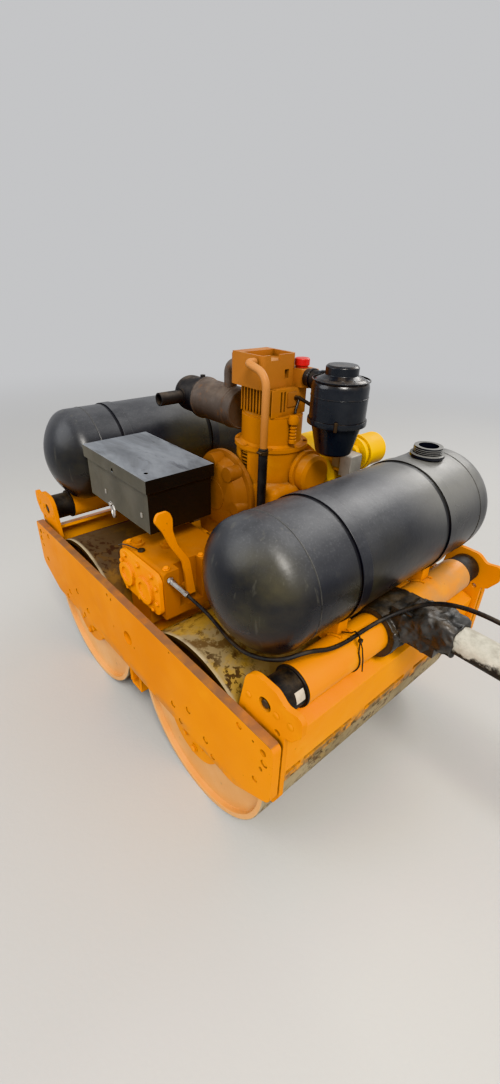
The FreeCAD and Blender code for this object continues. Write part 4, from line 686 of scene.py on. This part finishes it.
def circle(centre, way, radius, count):
    """Points round an axis."""
    turn = Vector(way).to_track_quat("Z", "Y")
    angles = [math.tau * step / count for step in range(count)]
    return [Vector(centre) + turn @ Vector((radius * math.cos(a), radius * math.sin(a), 0)) for a in angles]


def bead(form, points, radius, closed=False):
    """Weld bead: a bar whose thickness ripples along its way."""
    radii = [radius * (1.0 + 0.28 * noise.noise(Vector(point) * 160.0)) for point in points]
    sweep(form, points, radii, sides=8, closed=closed)


def build(name, form, body, finish, width=0.0004):
    """Piece from a finished form."""
    bmesh.ops.recalc_face_normals(form, faces=form.faces)
    mesh = bpy.data.meshes.new(name)
    form.to_mesh(mesh)
    form.free()
    mesh.materials.append(finish)
    piece = bpy.data.objects.new(name, mesh)
    put(piece, body)
    soften(piece, width, segments=1)
    return piece


# Control cable: the route's points, ahead of the rear axle, left of the middle, above the ground

CABLE_RADIUS = 0.0045
FRONT_ROUTE = (
    (0.098, 0.317, 0.541), (0.050, 0.306, 0.524), (-0.010, 0.312, 0.518), (-0.074, 0.332, 0.532),
    (-0.146, 0.346, 0.552), (-0.220, 0.336, 0.584), (-0.244, 0.286, 0.598), (-0.257, 0.222, 0.574),
    (-0.257, 0.1653, 0.574),
)
REAR_ROUTE = (
    (-0.257, 0.165, 0.574), (-0.257, 0.098, 0.574), (-0.282, 0.050, 0.596), (-0.326, 0.024, 0.632),
    (-0.392, 0.030, 0.664), (-0.480, 0.052, 0.684), (-0.600, 0.060, 0.676), (-0.720, 0.052, 0.650),
    (-0.840, 0.042, 0.622), (-0.960, 0.036, 0.606), (-1.080, 0.030, 0.598), (-1.180, 0.020, 0.606),
    (-1.262, 0.006, 0.628),
)


def cable(node, route):
    """The control cable as one smooth curve, in place of its node."""
    data = bpy.data.curves.new(f"{node}_line", "CURVE")
    data.dimensions = "3D"
    spline = data.splines.new("NURBS")
    spline.points.add(len(route) - 1)
    for point, place in zip(spline.points, route):
        point.co = (*ahead(*place), 1.0)
    spline.order_u = 3
    spline.use_endpoint_u = True
    spline.resolution_u = 10
    data.bevel_depth = CABLE_RADIUS
    data.bevel_resolution = 5
    data.use_fill_caps = True
    data.materials.append(FINISHES["rubber"])
    piece = bpy.data.objects.new(f"{node}_line", data)
    put(piece, NODE_BODY[node])
    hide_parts(node)
    return piece


cable("cable_front", FRONT_ROUTE)
cable("cable_rear", REAR_ROUTE)


# Side plates, with painted bolts sunk beside each axle and at the ends

# ahead of the rear axle or behind the front one, height, head's radius
PLATE_BOLTS = (
    (0.052, 0.286, 0.0072), (-0.013, 0.322, 0.0072), (-0.078, 0.284, 0.0072), (0.022, 0.2535, 0.0060),
    (-0.104, 0.2535, 0.0060), (-0.190, 0.437, 0.0060), (-0.263, 0.401, 0.0070), (-0.240, 0.330, 0.0055),
)
SINK = 0.0030


def plate_bolt_places(side):
    for x, z, radius in PLATE_BOLTS:
        for axle, way in ((REAR_AXLE, 1), (FRONT_AXLE, -1)):
            yield Vector((axle.x + way * x, side * (PLATE_OUTER - SINK), z)), radius


for label, side in (("left", 1), ("right", -1)):
    pockets = bmesh.new()
    heads = bmesh.new()
    for place, radius in plate_bolt_places(side):
        rim = radius + 0.0020
        lathe(pockets, place, (0, side, 0), ((0, 0), (rim, 0), (rim, 0.01), (0, 0.01)), 24)
        dome(heads, place, (0, side, 0), radius)
    bmesh.ops.recalc_face_normals(pockets, faces=pockets.faces)
    dress(f"side_plate_{label}", pockets)
    build(f"side_plate_bolts_{label}", heads, "frame", PLATE_FINISH)

CORDS = ("cable_front", "cable_rear")
PLATES = ("side_plate_left", "side_plate_right")
for node in sorted(NODE_BODY):
    if node not in CORDS + PLATES:
        dress(node)


# Bolts of the bearing carriers and the ears

def frame_bolts():
    painted = bmesh.new()
    dark = bmesh.new()
    for side in (1, -1):
        out = (0, side, 0)
        for axle, way in ((REAR_AXLE, -1), (FRONT_AXLE, 1)):
            for x, z in ((-0.040, 0.205), (0.030, 0.196), (-0.004, 0.168)):
                bolt(painted, (axle.x - way * x, side * CARRIER_FACE, z), out, 0.0085)
            for beyond, z in ((0.186, 0.502), (0.261, 0.511), (0.296, 0.514)):
                dome(painted, (axle.x + way * beyond, side * EAR_FACE, z), out, 0.0075)
            buffer = (axle.x + way * 0.230, side * (EAR_FACE - 0.011), CROSS_TUBE.z)
            bolt(dark, buffer, out, 0.0105)
    build("frame_bolts", painted, "frame", FINISHES["yellow_paint"])
    build("buffer_bolts", dark, "frame", OLD_STEEL)


frame_bolts()


# Gearbox: bolts round the cover, the dipstick's wire loop, and the ferrule's nuts

def gearbox_details():
    low, high = GEARBOX_LOW, GEARBOX_HIGH
    face = high.y - 0.009
    inset = 0.011
    columns = [low.x + inset + (high.x - low.x - inset * 2) * share for share in (0.12, 0.5, 0.88)]
    rows = [low.z + inset + (high.z - low.z - inset * 2) * share for share in (0.28, 0.74)]
    places = [(x, face, z) for x in columns for z in (low.z + inset, high.z - inset)]
    places += [(x, face, z) for x in (low.x + inset, high.x - inset) for z in rows]
    form = bmesh.new()
    for place in places:
        bolt(form, place, (0, 1, 0), 0.0062)
    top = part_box("gearbox_housing")[1].z - 0.015
    for x, y in ((0.172, 0.326), (0.172, 0.226), (0.340, 0.156), (0.340, 0.330), (0.172, 0.156)):
        bolt(form, ahead(x, y, top), (0, 0, 1), 0.0065)
    build("gearbox_bolts", form, "frame", NODE_FINISH["gearbox_cover"])
    wire = bmesh.new()
    loop = [(0.336, 0.362, 0.584), (0.322, 0.358, 0.592), (0.306, 0.352, 0.594), (0.292, 0.346, 0.592), (0.284, 0.336, 0.586),
            (0.282, 0.328, 0.5795)]
    sweep(wire, [ahead(*place) for place in loop], [0.0018] * len(loop), sides=8)
    lathe(wire, ahead(0.282, 0.328, top), (0, 0, 1), ((0, 0), (0.010, 0), (0.009, 0.004), (0, 0.004)), 20)
    build("gearbox_dipstick", wire, "frame", FINISHES["black_plastic"])
    ferrule = bmesh.new()
    start = ahead(0.156, 0.330, 0.562)
    end = ahead(0.098, 0.317, 0.541)
    way = (end - start).normalized()
    reach = (end - start).length
    for along, radius, height in ((0.004, 0.0095, 0.006), (0.014, 0.0085, 0.004), (reach - 0.010, 0.0080, 0.008)):
        lathe(ferrule, start + way * along, way, ((0.0069, 0), (radius, 0), (radius, height), (0.0069, height)), 6,
              closed=True)
    build("ferrule_nuts", ferrule, "frame", FINISHES["bare_steel"])


gearbox_details()


# Engine: fasteners, the stack beside the barrel, a black sheet of painted shade behind the louvre, and the air hose's
# clamps

def engine_details():
    painted = bmesh.new()
    flange = DECK + 0.009
    for point in circle((CYLINDER.x, CYLINDER.y, flange), (0, 0, 1), 0.0868, 8):
        bolt(painted, point, (0, 0, 1), 0.0048, washer=False)
    stack = ahead(0.117, -0.014, DECK + 0.022)
    profile = [(0, 0), (0.0095, 0), (0.0095, 0.008)]
    for coil in range(4):
        foot = 0.010 + coil * 0.008
        profile += [(0.0060, foot), (0.0088, foot + 0.002), (0.0088, foot + 0.005), (0.0060, foot + 0.007)]
    profile += [(0.0060, 0.044), (0.0125, 0.047), (0.0140, 0.056), (0.0105, 0.066), (0, 0.068)]
    lathe(painted, stack, (0, 0, 1), profile, 20)
    cover_low = ahead(0.066, CYLINDER.y - 0.032, DECK - 0.057)
    for point in circle(cover_low + Vector((0.034, 0, 0)), (-1, 0, 0), 0.0525, 6):
        bolt(painted, point, (-1, 0, 0), 0.0045, washer=False)
    build("engine_fasteners", painted, "frame", FINISHES["engine_paint"])

    head = bmesh.new()
    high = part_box("engine_head")[1]
    for x, y in ((0.170, 0.036), (0.245, 0.040), (0.245, -0.044), (0.172, -0.046)):
        bolt(head, ahead(x, y, high.z - 0.014 if 0.175 < x < 0.24 else high.z - 0.006), (0, 0, 1), 0.0055, washer=False)
    panel = ahead(0.142, CYLINDER.y - 0.022, DECK + 0.102)
    block(head, panel, panel + Vector((0.004, 0.030, 0.034)))
    build("head_fasteners", head, "frame", NODE_FINISH["engine_head"])

    black = bmesh.new()
    # Painted shade: a thin black sheet at the floor of the louvre, standing for the shade behind its ribs
    block(black, ahead(0.193, 0.0438, 0.757), ahead(0.219, 0.0450, 0.805))
    bracket = [(0.150, -0.040, 0.934), (0.132, -0.043, 0.936), (0.112, -0.046, 0.930), (0.090, -0.048, 0.924), (0.074, -0.050, 0.922)]
    sweep(black, [ahead(*place) for place in bracket], [0.0065, 0.0050, 0.0040, 0.0045, 0.0070], sides=12)
    lever = [(0.132, -0.043, 0.934), (0.128, -0.030, 0.914), (0.126, -0.026, 0.902)]
    sweep(black, [ahead(*place) for place in lever], [0.0035] * 3, sides=10)
    build("governor_bracket_and_louvre_shade", black, "frame", FINISHES["black_plastic"])

    grey = bmesh.new()
    block(grey, ahead(0.030, -0.190, 0.735), ahead(0.070, -0.144, 0.796))
    block(grey, ahead(0.070, -0.186, 0.750), ahead(0.100, -0.150, 0.784))
    build("engine_side_block", grey, "frame", CAST_GREY, width=0.004)

    clamps = bmesh.new()
    hose_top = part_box("breather_hose")[1]
    hose = middle("breather_hose")
    lathe(clamps, (hose.x, hose.y, hose_top.z - 0.014), (0, 0, 1),
          ((0.0108, 0), (0.0125, 0), (0.0125, 0.009), (0.0108, 0.009)), 28, closed=True)
    lathe(clamps, (hose.x, hose.y + 0.012, hose_top.z - 0.0095), (1, 0, 0), ((0, -0.008), (0.003, -0.008), (0.003, 0.008), (0, 0.008)), 12)
    build("hose_clamp", clamps, "frame", OLD_STEEL)


engine_details()


# Air cleaner: clamp band, lid ribs, and the rubber elbow's collars

def cleaner_details():
    band_foot = 0.903
    black = bmesh.new()
    radius = 0.0630
    lathe(black, (CLEANER.x, CLEANER.y, band_foot), (0, 0, 1),
          ((radius - 0.002, 0), (radius + 0.0030, 0), (radius + 0.0034, 0.003), (radius + 0.0034, 0.009), (radius + 0.0030, 0.012),
           (radius - 0.002, 0.012)), 64, closed=True)
    for z in (0.962, 0.996):
        lathe(black, (CLEANER.x, CLEANER.y, z), (0, 0, 1), ((radius - 0.002, 0), (radius + 0.0008, 0.001), (radius + 0.0008, 0.003), (radius - 0.002, 0.004)),
              64, closed=True)
    for x in (0.079, 0.108):
        lathe(black, ahead(x, CLEANER.y - 0.017, 0.982), (1, 0, 0), ((0.0195, 0), (0.0228, 0.001), (0.0228, 0.007), (0.0195, 0.008)), 32, closed=True)
    build("cleaner_bands", black, "frame", FINISHES["filter_paint"])
    clip = bmesh.new()
    for angle in (-52.0, 128.0):
        a = math.radians(angle)
        spot = Vector((CLEANER.x + math.cos(a) * (radius + 0.0046), CLEANER.y + math.sin(a) * (radius + 0.0046), band_foot - 0.004))
        lathe(clip, spot, (0, 0, 1), ((0, 0), (0.0038, 0.001), (0.0038, 0.021), (0, 0.022)), 12)
    build("cleaner_clips", clip, "frame", OLD_STEEL)


cleaner_details()


# Battery box: tabs on its left side, and the clamp ring under its front

def box_details():
    tabs = bmesh.new()
    left = LID_HIGH.y - 0.006
    for x, z, height in ((0.283, 0.668, 0.012), (0.470, 0.666, 0.012)):
        block(tabs, ahead(x, left - 0.001, z), ahead(x + 0.006, left + 0.003, z + height))
    build("box_tabs", tabs, "frame", CAST_GREY)
    ring = bmesh.new()
    centre = ahead(0.452, left - 0.004, 0.622)
    loop = circle(centre, (0.25, 1, 0), 0.019, 28)
    sweep(ring, loop, [0.0042] * len(loop), sides=10, closed=True)
    bolt(ring, centre + Vector((0.0, 0.004, 0.020)), (0, 1, 0), 0.006)
    build("box_clamp", ring, "frame", FINISHES["bare_steel"])


box_details()


# Water tanks: weld seams, neck collars and threads

def tank_details(label, tank, seams):
    form = bmesh.new()
    for seam in seams:
        loop = circle((tank.x, seam, tank.z), (0, 1, 0), TANK_RADIUS, 180)
        bead(form, loop, 0.0011, closed=True)
    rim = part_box(f"water_tank_{label}")[1].z
    neck = (tank.x, -0.225, rim)
    lathe(form, neck, (0, 0, 1), ((0.0325, -0.022), (0.040, -0.024), (0.040, -0.018), (0.037, -0.016), (0.0325, -0.016)), 48, closed=True)
    for turn in range(3):
        drop = -0.004 - turn * 0.004
        lathe(form, neck, (0, 0, 1), ((0.0327, drop), (0.0340, drop - 0.001), (0.0327, drop - 0.002)), 48, closed=True)
    build(f"tank_seams_{label}", form, "frame", NODE_FINISH[f"water_tank_{label}"], width=0.0)


tank_details("rear", TANK_REAR, (0.283, -0.283))
tank_details("front", TANK_FRONT, (0.243, -0.283))


# Weld beads of the frame

def frame_welds():
    form = bmesh.new()
    for tube, tank, way in ((CROSS_TUBE, TANK_REAR, 1), (middle("cross_tube_front"), TANK_FRONT, -1)):
        for side in (1, -1):
            for edge in (-0.016, 0.016):
                points = []
                for step in range(15):
                    angle = math.radians(48.0 + step * 3.2)
                    points.append((tube.x + way * math.cos(angle) * (TUBE_RADIUS + 0.001), side * 0.156 + edge,
                                   tube.z + math.sin(angle) * (TUBE_RADIUS + 0.001)))
                bead(form, points, 0.0032)
            for edge in (-0.026, 0.026):
                points = []
                for step in range(20):
                    angle = math.radians(-24.0 + step * 3.0)
                    points.append((tube.x + way * math.cos(angle) * (TUBE_RADIUS + 0.001), side * 0.115 + edge,
                                   tube.z + math.sin(angle) * (TUBE_RADIUS + 0.001)))
                bead(form, points, 0.0034)
    for low_x in (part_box("middle_member")[0].x - 0.001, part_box("middle_member")[1].x + 0.001):
        for side in (1, -1):
            y = side * (CARRIER_FACE - 0.001)
            points = [(low_x, y, 0.150 + step * 0.006) for step in range(29)]
            bead(form, points, 0.0030)
    build("frame_welds", form, "frame", FINISHES["yellow_paint"], width=0.0)


frame_welds()


# Cable tie round the rear cross tube and the cable, and a blank label on the rubber buffer

def cable_tie():
    across = 0.158
    tube_reach = TUBE_RADIUS + 0.0016
    hump = ahead(-0.257, across, 0.574)
    points = []
    for step in range(40):
        angle = math.radians(150.0 + step * 7.0)
        points.append(Vector((CROSS_TUBE.x + math.cos(angle) * tube_reach, across, CROSS_TUBE.z + math.sin(angle) * tube_reach)))
    points += [Vector((hump.x + 0.012, across, hump.z - 0.002)), Vector((hump.x + 0.004, across, hump.z + 0.0068)),
               Vector((hump.x - 0.006, across, hump.z + 0.0045)), Vector((hump.x - 0.011, across, hump.z - 0.006))]
    form = bmesh.new()
    sweep(form, points, [0.0016] * len(points), sides=8, closed=True)
    block(form, hump + Vector((-0.015, -0.004, -0.010)), hump + Vector((-0.008, 0.004, -0.003)))
    tail = [hump + Vector(move) for move in ((-0.011, 0.0, -0.006), (-0.020, 0.002, -0.020), (-0.027, 0.004, -0.044), (-0.030, 0.004, -0.072))]
    sweep(form, tail, [0.0015] * 4, sides=8)
    build("cable_tie", form, "frame", FINISHES["black_plastic"], width=0.0)


def buffer_label():
    form = bmesh.new()
    radius = 0.0390
    rows = []
    for y in (0.3115, 0.3340):
        for r in (radius - 0.0004, radius + 0.0006):
            rows.append([form.verts.new((CROSS_TUBE.x - math.cos(a) * r, y, CROSS_TUBE.z + math.sin(a) * r))
                         for a in (math.radians(2.0 + 4.0 * step) for step in range(10))])
    inner_a, outer_a, inner_b, outer_b = rows
    last = len(inner_a) - 1
    for step in range(last):
        for first, second in ((outer_a, outer_b), (inner_b, inner_a), (inner_a, outer_a), (outer_b, inner_b)):
            form.faces.new((first[step], first[step + 1], second[step + 1], second[step]))
    form.faces.new((inner_a[0], outer_a[0], outer_b[0], inner_b[0]))
    form.faces.new((inner_a[last], inner_b[last], outer_b[last], outer_a[last]))
    build("buffer_label", form, "frame", LABEL_FINISH, width=0.0)


cable_tie()
buffer_label()


# Tiller hinge: wrinkled black wrap round the collar and its arm

WRAP_VOXEL = 0.0026


def tiller_wrap():
    form = bmesh.new()
    inner = TUBE_RADIUS + 0.0125
    lathe(form, (CROSS_TUBE.x, 0, CROSS_TUBE.z), (0, 1, 0),
          ((inner, -0.061), (inner + 0.0035, -0.061), (inner + 0.0040, -0.02), (inner + 0.0040, 0.03), (inner + 0.0035, 0.061), (inner, 0.061)),
          64, closed=True)
    # ahead of the rear axle, half width, half height, height of the middle
    sections = (
        (-0.262, 0.048, 0.036, 0.548), (-0.285, 0.047, 0.043, 0.552), (-0.312, 0.046, 0.046, 0.557), (-0.345, 0.045, 0.046, 0.561),
        (-0.376, 0.041, 0.040, 0.567), (-0.396, 0.037, 0.037, 0.567),
    )
    rings = []
    for x, wide, tall, z in sections:
        ring = []
        for step in range(32):
            a = math.tau * step / 32
            c, s = math.cos(a), math.sin(a)
            ring.append(form.verts.new(ahead(x, math.copysign(abs(c) ** 0.5, c) * wide, z + math.copysign(abs(s) ** 0.5, s) * tall)))
        rings.append(ring)
    for low, high in zip(rings, rings[1:]):
        for step in range(32):
            form.faces.new((low[step], low[(step + 1) % 32], high[(step + 1) % 32], high[step]))
    form.faces.new(rings[0])
    form.faces.new(rings[-1])
    piece = build("tiller_wrap", form, "tiller", WRAP_FINISH, width=0.0)
    remesh = piece.modifiers.new("join", "REMESH")
    remesh.mode = "VOXEL"
    remesh.voxel_size = WRAP_VOXEL
    settled(piece)
    form = bmesh.new()
    form.from_mesh(piece.data)
    form.normal_update()
    for vert in form.verts:
        place = vert.co.copy()
        away = Vector((place.x - CROSS_TUBE.x, 0, place.z - CROSS_TUBE.z))
        if away.length < inner + 0.002 and abs(place.y) < 0.0600:
            continue
        fold = noise.noise(Vector((place.x * 30.0, place.y * 46.0, place.z * 30.0)))
        crease = abs(noise.noise(Vector((place.x * 56.0 + 5.0, place.y * 38.0, place.z * 56.0))))
        share = 0.0035 if place.x > CROSS_TUBE.x - 0.052 else 0.0110
        vert.co = place + vert.normal * share * (fold * 0.9 - crease * 0.6 + 0.06)
    form.to_mesh(piece.data)
    form.free()
    piece.data.materials.clear()
    piece.data.materials.append(WRAP_FINISH)
    piece.data.shade_smooth()
    return piece


tiller_wrap()


# Stage: pale floor that fades into the backdrop, and soft lights

FLOOR_TONE = (0.52, 0.515, 0.50)
BACK_TONE = (0.92, 0.925, 0.94)
BACK_STRENGTH = 0.64
FLOOR_REACH = 60.0


def floor():
    bpy.ops.mesh.primitive_circle_add(vertices=128, radius=FLOOR_REACH, fill_type="NGON")
    plane = bpy.context.object
    plane.name = "floor"
    g = Graph("floor")
    colour = g.mix(g.noise(1.3, 4.0), FLOOR_TONE, tuple(tone * 0.95 for tone in FLOOR_TONE))
    g.bump((g.noise(90.0, 3.0), 0.0004))
    g.finish(colour, 0.75, specular=0.2)
    far = g.make("ShaderNodeEmission")
    far.inputs["Color"].default_value = (*BACK_TONE, 1.0)
    far.inputs["Strength"].default_value = BACK_STRENGTH
    blend = g.make("ShaderNodeMixShader")
    g.link(g.near((0.3, 0.0, 0.0), 1.9, 4.2, flat="Z"), blend.inputs[0])
    g.link(far.outputs[0], blend.inputs[1])
    g.link(g.shader.outputs[0], blend.inputs[2])
    g.link(blend.outputs[0], g.output.inputs["Surface"])
    plane.data.materials.append(g.material)


LAMPS = (
    # name, place in metres, aim, size in metres, watts, colour
    ("key", (-2.4, 1.9, 4.4), (0.2, 0.0, 0.4), 1.8, 225.0, (1.0, 0.96, 0.90)),
    ("fill", (2.6, 3.4, 2.6), (0.2, 0.0, 0.4), 3.0, 55.0, (0.96, 0.98, 1.0)),
    ("rim", (0.6, -4.0, 3.6), (0.2, 0.0, 0.6), 2.6, 90.0, (1.0, 0.98, 0.95)),
)


def lights():
    world = bpy.data.worlds.new("studio")
    bpy.context.scene.world = world
    world.use_nodes = True
    back = world.node_tree.nodes["Background"]
    back.inputs["Color"].default_value = (*BACK_TONE, 1.0)
    back.inputs["Strength"].default_value = BACK_STRENGTH
    for name, place, aim, size, watts, colour in LAMPS:
        data = bpy.data.lights.new(name, "AREA")
        data.shape = "DISK"
        data.size = size
        data.energy = watts
        data.color = colour
        lamp = bpy.data.objects.new(name, data)
        lamp.location = place
        lamp.rotation_euler = (Vector(aim) - Vector(place)).to_track_quat("-Z", "Y").to_euler()
        bpy.context.scene.collection.objects.link(lamp)


floor()
lights()
bpy.context.scene.view_settings.view_transform = "Khronos PBR Neutral"
bpy.context.scene.view_settings.look = "None"
